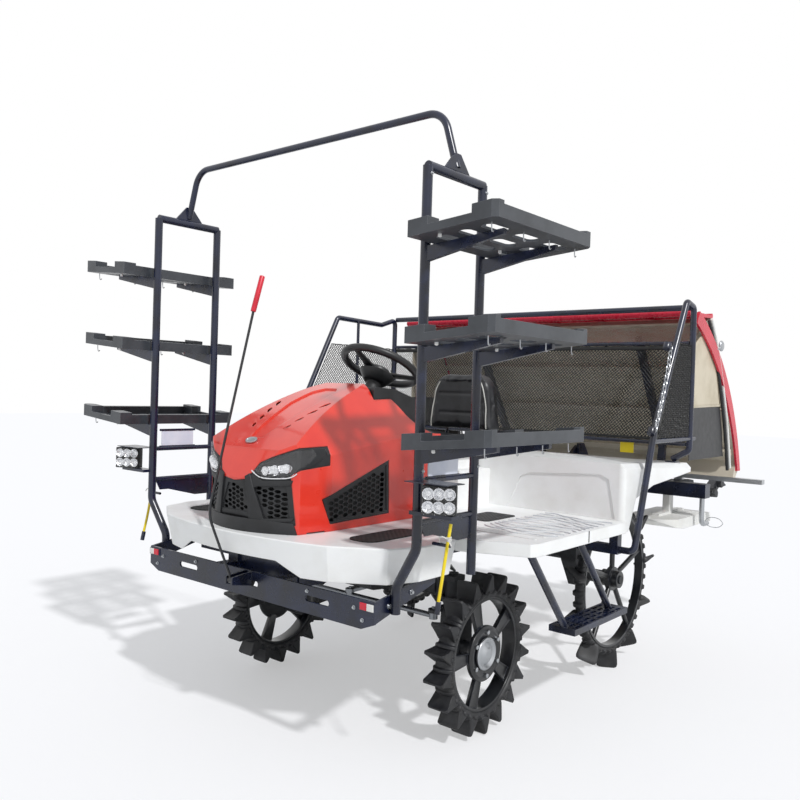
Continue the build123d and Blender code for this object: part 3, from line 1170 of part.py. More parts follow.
# ---------------------------------------------------------------- side steps
with BuildPart() as side_steps:
    for side in (-1, 1):
        for top, foot in ((STEP_STRUT_FRONT, STEP_FRONT + 30),
                          (STEP_STRUT_REAR, STEP_FRONT + STEP_LENGTH - 60)):
            block(*sorted((side * 850, side * 900)), fy(top) - 20, fy(top) + 20,
                  ARM_LOW_Z - 8, ARM_LOW_Z)
            bar((side * 875, fy(top), ARM_LOW_Z - 18), (side * STEP_X, fy(foot), STEP_Z - 10),
                STEP_STRUT_D)
        x0, x1 = sorted((side * (STEP_X - STEP_WIDTH / 2), side * (STEP_X + STEP_WIDTH / 2)))
        block(x0, x1, fy(STEP_FRONT), fy(STEP_FRONT + STEP_LENGTH), STEP_Z - 26, STEP_Z)
        # open tread
        with BuildSketch(Plane.XY.offset(STEP_Z)) as holes:
            with Locations((side * STEP_X, fy(STEP_FRONT + STEP_LENGTH / 2))):
                with GridLocations(28, 62, 4, 7):
                    Rectangle(14, 44)
        extrude(holes.sketch, amount=-STEP_WIDTH, mode=Mode.SUBTRACT)
keep(side_steps, "side_steps")

# ---------------------------------------------------------------- centre marker pole
POLE_BEND = (-905.0, 900.0)
POLE_GRIP = (-719.0, 1669.0)
POLE_TIP = (-681.0, 1800.0)
with BuildPart() as marker_pole:
    run_tube([(0, fy(POLE_Y), POLE_Z), (0, fy(POLE_BEND[0]), POLE_BEND[1]),
              (0, fy(POLE_GRIP[0]), POLE_GRIP[1])], 120, POLE_D)
    bar((0, fy(POLE_GRIP[0]), POLE_GRIP[1]), (0, fy(POLE_TIP[0]), POLE_TIP[1]), POLE_D + 8)
    bar((-14 + SEAT_GAP, fy(POLE_Y), POLE_Z), (14 - SEAT_GAP, fy(POLE_Y), POLE_Z), 24)
keep(marker_pole, "marker_pole")

# ---------------------------------------------------------------- lift linkage
raised = radians(LINK_RAISED)
link_dy, link_dz = LINK_LENGTH * cos(raised), LINK_LENGTH * sin(raised)
low_front = (fy(LINK_LOW_Y), LINK_LOW_Z)
low_rear = (low_front[0] + link_dy, low_front[1] + link_dz)
high_front = (fy(LINK_HIGH_Y), LINK_HIGH_Z)
high_rear = (high_front[0] + link_dy, high_front[1] + link_dz)


def link_plate(x0, x1, start, end, height):
    """Adds a flat link with round ends between two pins given as (y, z)."""
    dy, dz = end[0] - start[0], end[1] - start[1]
    with BuildSketch(Plane.YZ.offset(x0)) as profile:
        with Locations(((start[0] + end[0]) / 2, (start[1] + end[1]) / 2)):
            SlotCenterToCenter(sqrt(dy * dy + dz * dz), height, rotation=degrees(atan2(dz, dy)))
    extrude(profile.sketch, amount=x1 - x0)


def pin_hole(y, z, radius, x0=-400, x1=400):
    """Bores a hole across the machine."""
    with BuildSketch(Plane.YZ.offset(x0)) as profile:
        with Locations((y, z)):
            Circle(radius)
    extrude(profile.sketch, amount=x1 - x0, mode=Mode.SUBTRACT)


BORE = LINK_PIN_D / 2 + PIN_FIT
LOWER_ARM_OUT = 100.0
ROD_EYE_PLAY = 12.0            # the lever's eye is wide, as the rod's pin drifts in it
lever_end = (low_front[0] + LIFT_LEVER * sin(radians(LEVER_LEAN)),
             low_front[1] + LIFT_LEVER * cos(radians(LEVER_LEAN)))
with BuildPart() as lower_link:
    for side in (-1, 1):
        x0, x1 = sorted((side * LOWER_ARM_OUT, side * (LOWER_ARM_OUT - LINK_ARM_W)))
        link_plate(x0, x1, low_front, low_rear, LINK_ARM_H)
    for y, z in (low_front, low_rear):
        bar((-LOWER_ARM_OUT, y, z), (LOWER_ARM_OUT, y, z), LINK_ARM_H)
    link_plate(-8, 8, low_front, lever_end, 2 * (CYLINDER_PIN_D / 2 + ROD_EYE_PLAY + 8))
    for y, z in (low_front, low_rear):
        pin_hole(y, z, BORE)
    pin_hole(*lever_end, CYLINDER_PIN_D / 2 + ROD_EYE_PLAY)
keep(lower_link, "lower_link")

with BuildPart() as upper_links:
    for side in (-1, 1):
        x0, x1 = sorted((side * UPPER_ARM_IN, side * (UPPER_ARM_IN + LINK_ARM_W)))
        link_plate(x0, x1, high_front, high_rear, LINK_ARM_H)
    for y, z in (high_front, high_rear):
        pin_hole(y, z, BORE)
keep(upper_links, "upper_links")

# lift cylinder: lies from its frame pin towards the lever's eye
barrel_pin = (fy(CYLINDER_Y), CYLINDER_Z)
stroke_dy, stroke_dz = lever_end[0] - barrel_pin[0], lever_end[1] - barrel_pin[1]
rest_length = sqrt(stroke_dy ** 2 + stroke_dz ** 2)
cylinder_axis = (0, stroke_dy / rest_length, stroke_dz / rest_length)
along = Plane(origin=(0, *barrel_pin), x_dir=(1, 0, 0), z_dir=cylinder_axis)
BARREL_LENGTH = 262.0
with BuildPart() as lift_barrel:
    with BuildSketch(along.offset(14)):
        Circle(CYLINDER_D / 2)
    extrude(amount=BARREL_LENGTH - 14)
    bar((-32, *barrel_pin), (32, *barrel_pin), 44)
    with BuildSketch(along.offset(40)):
        Circle(ROD_D / 2 + PIN_FIT)
    extrude(amount=BARREL_LENGTH, mode=Mode.SUBTRACT)
    pin_hole(*barrel_pin, CYLINDER_PIN_D / 2 + PIN_FIT)
keep(lift_barrel, "lift_barrel")

with BuildPart() as lift_rod:
    with BuildSketch(along.offset(44)):
        Circle(ROD_D / 2)
    extrude(amount=rest_length - 44 - 118)
    fork_low, fork_high = rest_length - 128, rest_length + 16
    with BuildSketch(along.offset(fork_low)):
        Rectangle(44, 34)
    extrude(amount=fork_high - fork_low)
    with BuildSketch(along.offset(fork_low + 14)):
        Rectangle(24, 60)
    extrude(amount=fork_high, mode=Mode.SUBTRACT)
    bar((-22, *lever_end), (22, *lever_end), CYLINDER_PIN_D)
keep(lift_rod, "lift_rod")

# ---------------------------------------------------------------- planting unit
beam_y, beam_z = fy(BEAM_Y), BEAM_Z
HITCH_IN = 140.0
table_dy, table_dz = TABLE_LOW_Y - TABLE_TOP_Y, TABLE_LOW_Z - TABLE_TOP_Z
table_run = sqrt(table_dy ** 2 + table_dz ** 2)
# unit normal of the table, out of its seedling side
table_ny, table_nz = -table_dz / table_run, table_dy / table_run


def table_point(along_table, out=0.0):
    """(y, z) of a place on the table: share of the run from the top, and height over it."""
    return (fy(TABLE_TOP_Y + table_dy * along_table + table_ny * out),
            TABLE_TOP_Z + table_dz * along_table + table_nz * out)


GUIDE_SIZE = 26.0
HOOK_D = 26.0
HOOK_X = 800.0
HOOK_LOW_Z = 655.0
guide_z = TABLE_LOW_Z - 66
with BuildPart() as planter_frame:
    block(-BEAM_HALF, BEAM_HALF, beam_y - BEAM_SIZE / 2, beam_y + BEAM_SIZE / 2,
          beam_z - BEAM_SIZE / 2, beam_z + BEAM_SIZE / 2)
    for side in (-1, 1):
        x0, x1 = sorted((side * HITCH_IN, side * (HITCH_IN + 12)))
        side_plate(x0, x1, [
            (low_rear[0] - 36, low_rear[1] - 36), (beam_y - BEAM_SIZE / 2, beam_z - 40),
            (beam_y - BEAM_SIZE / 2, beam_z + 40), (high_rear[0] + 36, high_rear[1] + 36),
            (high_rear[0] - 36, high_rear[1] + 36)])
        bar((side * HITCH_IN, *high_rear), (side * UPPER_ARM_IN, *high_rear), LINK_PIN_D)
        # inclined posts that carry the table's upper rail
        x0, x1 = sorted((side * 520, side * 560))
        foot, head = table_point(0.80, -TABLE_THICK - 60), table_point(0.12, -TABLE_THICK - 60)
        foot2, head2 = table_point(0.80, -TABLE_THICK - 25), table_point(0.12, -TABLE_THICK - 25)
        side_plate(x0, x1, [(beam_y - 20, beam_z + 40), foot, head, head2, foot2,
                            (beam_y + 30, beam_z + 40)])
    bar((-HITCH_IN, *low_rear), (HITCH_IN, *low_rear), LINK_PIN_D)
    # hook tubes under the toolbar's ends, that keep the side markers' cords
    for side in (-1, 1):
        x = side * HOOK_X
        run_tube([(x, beam_y, beam_z - BEAM_SIZE / 2 + 2), (x, beam_y, HOOK_LOW_Z),
                  (x, beam_y + 90, HOOK_LOW_Z)], 40, HOOK_D)
keep(planter_frame, "planter_frame")

CASE_XS = (-600.0, 0.0, 600.0)
CASE_W = 64.0
SHAFT_D = 22.0
rotor_y, rotor_z = fy(ROTOR_Y), ROTOR_Z
with BuildPart() as planting_cases:
    for x in CASE_XS:
        side_plate(x - CASE_W / 2, x + CASE_W / 2, [
            (beam_y + BEAM_SIZE / 2, beam_z - 38), (beam_y + BEAM_SIZE / 2, beam_z + 38),
            (rotor_y - 70, beam_z + 38), (rotor_y + 20, rotor_z + 34),
            (rotor_y + 38, rotor_z), (rotor_y + 20, rotor_z - 34), (rotor_y - 60, rotor_z - 42)])
    pin_hole(rotor_y, rotor_z, SHAFT_D / 2 + PIN_FIT, -1200, 1200)
keep(planting_cases, "planting_cases")

with BuildPart() as guide_rail:
    block(-RAIL_END_X, RAIL_END_X, fy(GUIDE_Y) - GUIDE_SIZE, fy(GUIDE_Y) + GUIDE_SIZE,
          guide_z, guide_z + GUIDE_SIZE)
    for x in CASE_XS:
        block(x - 24, x + 24, fy(GUIDE_Y) - 14, fy(GUIDE_Y) + 14, beam_z + 38, guide_z)
keep(guide_rail, "guide_rail")

def float_hull(x, front, rear, width):
    """One float: a rounded nose seen from above and a rising bow seen from the side."""
    with BuildPart() as hull:
        side_plate(x - width / 2, x + width / 2, [
            (fy(front), FLOAT_Z + FLOAT_H), (fy(front + 14), FLOAT_Z + FLOAT_H - 16),
            (fy(front + 90), FLOAT_Z + 12), (fy(front + 190), FLOAT_Z), (fy(rear), FLOAT_Z),
            (fy(rear), FLOAT_Z + FLOAT_H - 12), (fy(rear - 120), FLOAT_Z + FLOAT_H)])
        with BuildSketch(Plane.XY.offset(FLOAT_Z)) as waterline:
            with BuildLine():
                bow = ThreePointArc((x - width / 2, fy(front + 110)), (x, fy(front)),
                                    (x + width / 2, fy(front + 110)))
                Polyline(bow @ 1, (x + width / 2, fy(rear - 30)), (x + width / 2 - 25, fy(rear)),
                         (x - width / 2 + 25, fy(rear)), (x - width / 2, fy(rear - 30)), bow @ 0)
            make_face()
        extrude(waterline.sketch, amount=FLOAT_H + 1, mode=Mode.INTERSECT)
        # hollow rib along the top
        block(x - 24, x + 24, fy(front + 130), fy(rear - 130), FLOAT_Z + FLOAT_H,
              FLOAT_Z + FLOAT_H + 12)
    return hull.part


with BuildPart() as floats:
    # middle and two side floats: middle across, nose, tail, width
    for x, front, rear, width in ((0.0, 1660.0, 2290.0, 250.0), (600.0, 1640.0, 2290.0, 300.0),
                                  (-600.0, 1640.0, 2290.0, 300.0)):
        add(float_hull(x, front, rear, width))
        block(x - 20, x + 20, beam_y - 30, beam_y + 30, FLOAT_Z + FLOAT_H, beam_z - 40)
keep(floats, "floats")

# planting rotors: a shaft through each case with a two-armed housing at both ends
ARM_PIVOT = 52.0               # from the rotor's middle to a planting arm's pivot
ROTOR_TURN = 24.0              # degrees that the housings stand turned, at rest
# outlines along and across the housing, from the rotor's middle
ARM_BODY = ((30.0, 14.0), (44.0, 32.0), (64.0, 28.0), (82.0, 4.0), (94.0, -20.0), (84.0, -30.0),
            (62.0, -22.0), (40.0, -18.0))
CLAW = ((76.0, -6.0), (94.0, -14.0), (ROTOR_REACH - 6, -38.0), (ROTOR_REACH - 10, -43.0),
        (78.0, -28.0))


def turned(outline, degrees_round):
    """(y, z) of an outline given from the rotor's middle, turned by an angle."""
    turn = radians(degrees_round)
    return [(rotor_y + u * cos(turn) - v * sin(turn), rotor_z + u * sin(turn) + v * cos(turn))
            for u, v in outline]


for number, x in enumerate(CASE_XS, start=1):
    with BuildPart() as rotor:
        bar((x - ROW_PITCH / 2 - 30, rotor_y, rotor_z), (x + ROW_PITCH / 2 + 30, rotor_y, rotor_z),
            SHAFT_D)
        for side in (-1, 1):
            row = x + side * ROW_PITCH / 2
            with BuildSketch(Plane.YZ.offset(row - 22)) as housing:
                with Locations((rotor_y, rotor_z)):
                    SlotCenterToCenter(2 * ARM_PIVOT, 62, rotation=ROTOR_TURN)
            extrude(housing.sketch, amount=44)
            # a planting arm on each end, half a turn apart, with a forked claw
            outer = side * 22
            for half_turn in (0, 180):
                x0, x1 = sorted((row + outer, row + outer + side * 26))
                side_plate(x0, x1, turned(ARM_BODY, ROTOR_TURN + half_turn))
                for tine in (x0 + 3, x1 - 8):
                    side_plate(tine, tine + 5, turned(CLAW, ROTOR_TURN + half_turn))
    keep(rotor, f"planting_rotor_{number}")

# ---------------------------------------------------------------- seedling table
TABLE_LANE = 2 * TABLE_HALF / ROWS
TABLE_SHEET = 8.0
LANE_HIGH = 34.0
CHEEK_THICK = 12.0
with BuildPart() as seedling_table:
    side_plate(-TABLE_HALF, TABLE_HALF, [
        table_point(0), table_point(1), table_point(1, -TABLE_SHEET), table_point(0, -TABLE_SHEET)])
    # a rib between the lanes, and one down the middle of each lane
    for lane in range(1, 2 * ROWS):
        x = -TABLE_HALF + lane * TABLE_LANE / 2
        half, high = (6, LANE_HIGH) if lane % 2 == 0 else (3, 7)
        side_plate(x - half, x + half, [table_point(0), table_point(1), table_point(1, high),
                                        table_point(0.03, high)])
    # ribs across the back stiffen the sheet
    inner = TABLE_HALF - CHEEK_THICK
    for place in (0.0, 0.28, 0.56, 0.84):
        side_plate(-inner, inner, [
            table_point(place, -TABLE_SHEET), table_point(place + 0.035, -TABLE_SHEET),
            table_point(place + 0.035, -TABLE_THICK), table_point(place, -TABLE_THICK)])
    # shoe that rides on the guide rail
    side_plate(-TABLE_HALF, TABLE_HALF, [
        table_point(0.93, -TABLE_SHEET), table_point(1, -TABLE_SHEET),
        (fy(GUIDE_Y) + 20, guide_z + GUIDE_SIZE + 0.3), (fy(GUIDE_Y) - 20, guide_z + GUIDE_SIZE + 0.3)])
keep(seedling_table, "seedling_table")

# end cheeks: outer edge bows from the roof down to the foot, as (y, z)
CHEEK_TOP = (1440.0, TABLE_TOP_Z + 17)
CHEEK_BOW = (1842.0, 1555.0)
CHEEK_FOOT = (2184.0, 966.0)
CHEEK_WIDE = 62.0
with BuildPart() as table_cheeks:
    for side in (-1, 1):
        x0 = TABLE_HALF + SEAT_GAP if side > 0 else -TABLE_HALF - SEAT_GAP - CHEEK_THICK
        with BuildSketch(Plane.YZ.offset(x0)) as cheek:
            with BuildLine():
                shift = CHEEK_WIDE
                outer = ThreePointArc((fy(CHEEK_TOP[0]), CHEEK_TOP[1]),
                                      (fy(CHEEK_BOW[0]), CHEEK_BOW[1]),
                                      (fy(CHEEK_FOOT[0]), CHEEK_FOOT[1]))
                inner_edge = ThreePointArc(
                    (fy(CHEEK_FOOT[0]) - shift * 0.8, CHEEK_FOOT[1]),
                    (fy(CHEEK_BOW[0]) - shift, CHEEK_BOW[1] - shift * 0.6),
                    (fy(CHEEK_TOP[0]) - 40, CHEEK_TOP[1] - shift))
                Line(outer @ 1, inner_edge @ 0)
                Line(inner_edge @ 1, outer @ 0)
            make_face()
        extrude(cheek.sketch, amount=CHEEK_THICK)
keep(table_cheeks, "table_cheeks")

ROOF_SHEET = 6.0
with BuildPart() as table_roof:
    # rounded front rail, side rails and slats, with a thin sheet over them
    roof_front, roof_rear = fy(TABLE_ROOF_Y), fy(TABLE_TOP_Y)
    roof_z = TABLE_TOP_Z + SEAT_GAP
    bar((-TABLE_HALF, roof_front + 16, roof_z), (TABLE_HALF, roof_front + 16, roof_z), 34)
    side_plate(-TABLE_HALF, TABLE_HALF, [
        (roof_front + 16, roof_z + 6), (roof_rear + 24, roof_z + 10),
        (roof_rear + 24, roof_z + 10 + ROOF_SHEET), (roof_front + 16, roof_z + 6 + ROOF_SHEET)])
    for lane in range(ROWS + 1):
        x = -TABLE_HALF + 10 + lane * (2 * TABLE_HALF - 20) / ROWS
        side_plate(x - 10, x + 10, [
            (roof_front + 16, roof_z - 14), (roof_rear, roof_z),
            (roof_rear + 24, roof_z + 12), (roof_front + 16, roof_z + 12)])
    bar((-TABLE_HALF, roof_rear + 14, roof_z + 13), (TABLE_HALF, roof_rear + 14, roof_z + 13), 26)
keep(table_roof, "table_roof")
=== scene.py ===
"""Ride-on rice transplanter: the finish and the fine pieces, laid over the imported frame."""

import bpy
import math
from mathutils import Matrix, Vector


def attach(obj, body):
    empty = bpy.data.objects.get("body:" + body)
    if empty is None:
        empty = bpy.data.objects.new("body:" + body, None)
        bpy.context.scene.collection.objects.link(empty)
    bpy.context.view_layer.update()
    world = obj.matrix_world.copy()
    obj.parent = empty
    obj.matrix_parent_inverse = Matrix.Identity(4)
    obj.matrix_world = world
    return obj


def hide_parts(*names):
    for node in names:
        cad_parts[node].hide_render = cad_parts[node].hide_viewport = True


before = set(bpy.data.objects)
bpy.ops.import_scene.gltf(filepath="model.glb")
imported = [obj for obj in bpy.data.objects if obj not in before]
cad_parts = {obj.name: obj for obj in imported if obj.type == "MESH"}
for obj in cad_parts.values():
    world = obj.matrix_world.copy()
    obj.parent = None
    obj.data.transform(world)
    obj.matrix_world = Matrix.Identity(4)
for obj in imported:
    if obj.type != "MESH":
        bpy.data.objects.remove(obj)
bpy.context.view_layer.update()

TURN = 2 * math.pi
X, Y, Z = 0, 1, 2
SIDES = ((-1, "right"), (1, "left"))
MIRROR = Matrix.Scale(-1, 4, Vector((1, 0, 0)))

# places in millimetres: across, along from the front axle, and up from the ground
AXLE_Y = -742.0                           # the front axle's own place in the frame
FRONT_HUB = (605.0, 0.0, 325.0)
REAR_HUB = (643.0, 1130.0, 450.0)
STEERING_HUB = (0.0, 24.0, 1482.0)
SHELF_LEVELS = (1188, 1523, 1858)
SIDE_NET_X = 968
BACK_NET_Y = 1262
BUMPER_FACE = -716
WORK_LAMP_X, WORK_LAMP_FACE, WORK_LAMP_Z = 888, -711, 1032
LAMP_NEAR = -790                          # the headlamps' front on the nose's middle
DECK_TOP = 836.4
EYE = (2412.59, -2725.31, 1375.4)
EYE_TURN = (39.78, 0.68, -1.74)           # round, down and tilt, in degrees


# ------------------------------------------------------------------ working by hand
def deselect():
    """Selects nothing."""
    bpy.ops.object.select_all(action="DESELECT")


def take(piece):
    """Makes one piece the only selected and active one."""
    deselect()
    piece.select_set(True)
    bpy.context.view_layer.objects.active = piece


def settle(piece):
    """Puts a piece's place, turn and size into its mesh."""
    take(piece)
    bpy.ops.object.transform_apply(location=True, rotation=True, scale=True)
    deselect()


def named(name):
    """Names the piece that was just made and settles it."""
    piece = bpy.context.object
    piece.name = name
    settle(piece)
    return piece


def started(name, add, **settings):
    """Adds a piece with one operator, under a name."""
    deselect()
    add(**settings)
    return named(name)


def metres(x, y, z):
    """A place in millimetres, with y from the front axle, as the frame has it."""
    return Vector((x, y + AXLE_Y, z)) / 1000


def block(name, low, high):
    """Starts a piece from a box between two corners in millimetres."""
    a, b = metres(*low), metres(*high)
    return started(name, bpy.ops.mesh.primitive_cube_add, size=1, location=(a + b) / 2,
                   scale=b - a)


def rod(name, start, end, radius, sides=16):
    """Starts a piece from a round bar between two places in millimetres."""
    a, b = metres(*start), metres(*end)
    lean = (b - a).to_track_quat("Z", "Y").to_euler()
    return started(name, bpy.ops.mesh.primitive_cylinder_add, vertices=sides,
                   radius=radius / 1000, depth=(b - a).length, location=(a + b) / 2,
                   rotation=lean)


def outline(name, corners):
    """Starts a flat piece from its corners in millimetres."""
    piece = started(name, bpy.ops.mesh.primitive_circle_add, vertices=len(corners), radius=1,
                    fill_type="NGON")
    for point, corner in zip(piece.data.vertices, corners):
        point.co = metres(*corner)
    return piece


def ring(name, major, minor, steps, **place):
    """Starts a piece from a round ring with two radii in millimetres and its two step counts."""
    return started(name, bpy.ops.mesh.primitive_torus_add, major_segments=steps[0],
                   minor_segments=steps[1], major_radius=major / 1000,
                   minor_radius=minor / 1000, **place)


def tube(name, path, radius, sides=2):
    """A smooth round bar along a few places, drawn as one spline and turned into a mesh."""
    deselect()
    bpy.ops.curve.primitive_nurbs_path_add()
    line = bpy.context.object.data
    line.splines.clear()
    spline = line.splines.new("NURBS")
    spline.points.add(len(path) - 1)
    for point, place in zip(spline.points, path):
        point.co = (*metres(*place), 1.0)
    spline.order_u = 3
    spline.use_endpoint_u = True
    line.dimensions = "3D"
    line.bevel_depth = radius / 1000
    line.bevel_resolution = sides
    line.use_fill_caps = True
    line.resolution_u = 6
    bpy.ops.object.convert(target="MESH")
    return named(name)


def pick(piece, kind, test):
    """Opens a piece with what passes a test selected, by its middle in mm and its normal."""
    take(piece)
    bpy.ops.object.mode_set(mode="EDIT")
    bpy.ops.mesh.select_mode(type=kind)
    bpy.ops.mesh.select_all(action="DESELECT")
    bpy.ops.object.mode_set(mode="OBJECT")
    mesh = piece.data
    if kind == "FACE":
        for face in mesh.polygons:
            face.select = test(face.center * 1000, face.normal)
    elif kind == "EDGE":
        for edge in mesh.edges:
            a, b = (mesh.vertices[i].co for i in edge.vertices)
            edge.select = test((a + b) * 500, b - a)
    else:
        for point in mesh.vertices:
            point.select = test(point.co * 1000, point.normal)
    bpy.ops.object.mode_set(mode="EDIT")


def close(piece):
    """Leaves edit mode with nothing selected."""
    bpy.ops.mesh.select_all(action="DESELECT")
    bpy.ops.object.mode_set(mode="OBJECT")
    deselect()
    return piece


def looks(axis, limit=0.9):
    """A test for faces that look along an axis, or against it where the limit is negative."""
    if limit < 0:
        return lambda place, normal: normal[axis] < limit
    return lambda place, normal: normal[axis] > limit


def both_ways(axis, limit=0.9):
    """A test for faces that look either way along an axis."""
    return lambda place, normal: abs(normal[axis]) > limit


def stepped(piece, test, *steps, **how):
    """Insets the faces that pass a test, each step by a thickness and a depth in mm."""
    pick(piece, "FACE", test)
    for thickness, depth in steps:
        bpy.ops.mesh.inset(thickness=thickness / 1000, depth=depth / 1000, **how)
    return close(piece)


def reshaped(piece, kind, test, scale=None, shift=None, **pivot):
    """Scales what passes a test, about its middle or a pivot, and moves it by millimetres."""
    pick(piece, kind, test)
    if scale:
        bpy.ops.transform.resize(value=scale, **pivot)
    if shift:
        bpy.ops.transform.translate(value=Vector(shift) / 1000)
    return close(piece)


def worked(piece, tool, **settings):
    """Uses an edit operator on all of a piece."""
    take(piece)
    bpy.ops.object.mode_set(mode="EDIT")
    bpy.ops.mesh.select_mode(type="VERT")
    bpy.ops.mesh.select_all(action="SELECT")
    tool(**settings)
    return close(piece)


def stretched(piece, scale, middle):
    """Scales all of a piece about a place in millimetres."""
    return worked(piece, bpy.ops.transform.resize, value=scale, center_override=metres(*middle))


def heal(piece):
    """Merges doubles and turns the faces outwards."""
    worked(piece, bpy.ops.mesh.remove_doubles, threshold=0.00005)
    return worked(piece, bpy.ops.mesh.normals_make_consistent, inside=False)


def thickened(piece, way):
    """Draws a flat piece out by millimetres into a closed one."""
    return heal(worked(piece, bpy.ops.mesh.extrude_region_move,
                       TRANSFORM_OT_translate={"value": Vector(way) / 1000}))


def modify(piece, kind, **settings):
    """Adds a modifier and applies it."""
    take(piece)
    added = piece.modifiers.new(kind.lower(), kind)
    for name, value in settings.items():
        setattr(added, name, value)
    bpy.ops.object.modifier_apply(modifier=added.name)
    deselect()
    return piece


def rounded(piece, width, segments=2, limit=35.0):
    """Breaks a piece's sharp edges by a radius in millimetres."""
    return modify(piece, "BEVEL", width=width / 1000, segments=segments, limit_method="ANGLE",
                  angle_limit=math.radians(limit), harden_normals=False)


def smooth(piece, angle=35.0):
    """Shades a piece smooth, but for edges sharper than an angle in degrees."""
    take(piece)
    bpy.ops.object.shade_smooth_by_angle(angle=math.radians(angle))
    deselect()
    return piece


def copy_of(piece, name, matrix):
    """A copy with its own mesh, moved by a matrix."""
    made = piece.copy()
    made.data = piece.data.copy()
    made.name = name
    bpy.context.collection.objects.link(made)
    made.data.transform(matrix)
    if matrix.determinant() < 0:
        made.data.flip_normals()
    return made


def joined(pieces, name):
    """Joins pieces into the first one."""
    deselect()
    for piece in pieces:
        piece.select_set(True)
    bpy.context.view_layer.objects.active = pieces[0]
    if len(pieces) > 1:
        bpy.ops.object.join()
    pieces[0].name = name
    deselect()
    return pieces[0]


def about(place, angle, axis):
    """Turns about an axis through a place given in millimetres."""
    spot = metres(*place)
    return (Matrix.Translation(spot) @ Matrix.Rotation(angle, 4, axis)
            @ Matrix.Translation(-spot))


def ready(piece, body, finish):
    """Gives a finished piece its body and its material."""
    piece.data.materials.clear()
    piece.data.materials.append(finish)
    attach(piece, body)
    return piece


def together(pieces, name, body, finish, angle=35.0):
    """Joins pieces under one name, smooths them and makes them ready."""
    return ready(smooth(joined(pieces, name), angle), body, finish)


# ------------------------------------------------------------------ materials
def linear(code):
    """An sRGB hex colour as linear red, green, blue, alpha."""
    parts = [int(code[i:i + 2], 16) / 255 for i in (0, 2, 4)]
    return (*[c / 12.92 if c <= 0.04045 else ((c + 0.055) / 1.055) ** 2.4 for c in parts], 1.0)


def feed(made, sockets):
    """Gives a node's inputs a value or a link each; a node stands for its first output."""
    for name, value in dict(sockets).items():
        if isinstance(value, bpy.types.Node):
            value = value.outputs[0]
        if isinstance(value, bpy.types.NodeSocket):
            made.id_data.links.new(value, made.inputs[name])
        else:
            made.inputs[name].default_value = value


def node(tree, kind, sockets=(), **settings):
    """Adds a shader node with its settings; sockets gives each input a value or a link."""
    made = tree.nodes.new("ShaderNode" + kind)
    for name, value in settings.items():
        setattr(made, name, value)
    feed(made, sockets)
    return made


def blank(name):
    """A new material with only its output: its tree, its shader and object coordinates."""
    made = bpy.data.materials.new(name)
    made.use_nodes = True
    tree = made.node_tree
    tree.nodes.clear()
    shader = node(tree, "BsdfPrincipled")
    node(tree, "OutputMaterial", {"Surface": shader})
    place = node(tree, "TexCoord").outputs["Object"]
    return made, tree, shader, place


def mottled(tree, place, light, dark, size, low=0.42, high=0.62, detail=4.0):
    """A colour that drifts between two, over patches of a size in millimetres."""
    cloud = node(tree, "TexNoise", {"Vector": place, "Scale": 1000 / size, "Detail": detail,
                                    "Roughness": 0.55})
    ramp = node(tree, "ValToRGB", {"Fac": cloud})
    for stop, position, tone in zip(ramp.color_ramp.elements, (low, high), (light, dark)):
        stop.position = position
        stop.color = linear(tone)
    return ramp


def tinted(tree, base, tone, pattern, low, high):
    """Lays a tone over a colour, by a share that goes from low to high as a pattern rises."""
    share = node(tree, "MapRange", {"Value": pattern, "To Min": low, "To Max": high})
    return node(tree, "Mix", {"Factor": share, "A": base, "B": linear(tone)},
                data_type="RGBA").outputs["Result"]


def skin(shader, colour, wear, rough, grain, height, flat):
    """Finishes a surface: a colour, a roughness that drifts with the wear between two values,
    a relief from the grain by a height in millimetres and a strength, and flat values."""
    tree = shader.id_data
    drift = node(tree, "MapRange", {"Value": wear, "To Min": rough[0], "To Max": rough[1]})
    raised = node(tree, "Bump", {"Height": grain, "Distance": height[0] / 1000,
                                 "Strength": height[1]})
    feed(shader, {"Base Color": colour, "Roughness": drift, "Normal": raised, **flat})


def soft_edges(tree, radius):
    """Rounds the shading at edges by a radius in millimetres, and gives how near one is."""
    round_off = node(tree, "Bevel", {"Radius": radius / 1000}, samples=4)
    flat = node(tree, "NewGeometry")
    same = node(tree, "VectorMath", {0: round_off, 1: flat.outputs["Normal"]},
                operation="DOT_PRODUCT")
    for bump in [n for n in tree.nodes if n.bl_idname == "ShaderNodeBump"]:
        feed(bump, {"Normal": round_off})
    return node(tree, "MapRange", {"Value": same.outputs["Value"], "From Min": 0.985,
                                   "From Max": 0.80})


def edge_wear_and_highlight(shader, radius, tone, amount):
    """Lightens a line along the edges to a paler tone: partly rubbed wear from handling, partly a
    painted highlight along them.
    """
    tree = shader.id_data
    under = shader.inputs["Base Color"].links[0].from_socket
    near = soft_edges(tree, radius)
    feed(shader, {"Base Color": tinted(tree, under, tone, near, 0.0, amount)})


def bonnet_enamel():
    # two-pack gloss enamel sprayed over moulded ABS: deep orange-red under a clear coat,
    # with the slight orange peel of a sprayed film and a little dust in it
    made, tree, shader, place = blank("bonnet_sprayed_enamel")
    peel = node(tree, "TexNoise", {"Vector": place, "Scale": 260.0, "Detail": 1.5})
    dust = node(tree, "TexNoise", {"Vector": place, "Scale": 9.0, "Detail": 6.0})
    skin(shader, mottled(tree, place, "E4331E", "DA2A1A", 220), dust, (0.22, 0.40), peel,
         (0.25, 0.12), {"Coat Weight": 0.6, "Coat Roughness": 0.08, "IOR": 1.5})
    # the paler line along the edges is partly wear and partly a painted highlight
    edge_wear_and_highlight(shader, 7.0, "F0715F", 0.25)
    return made


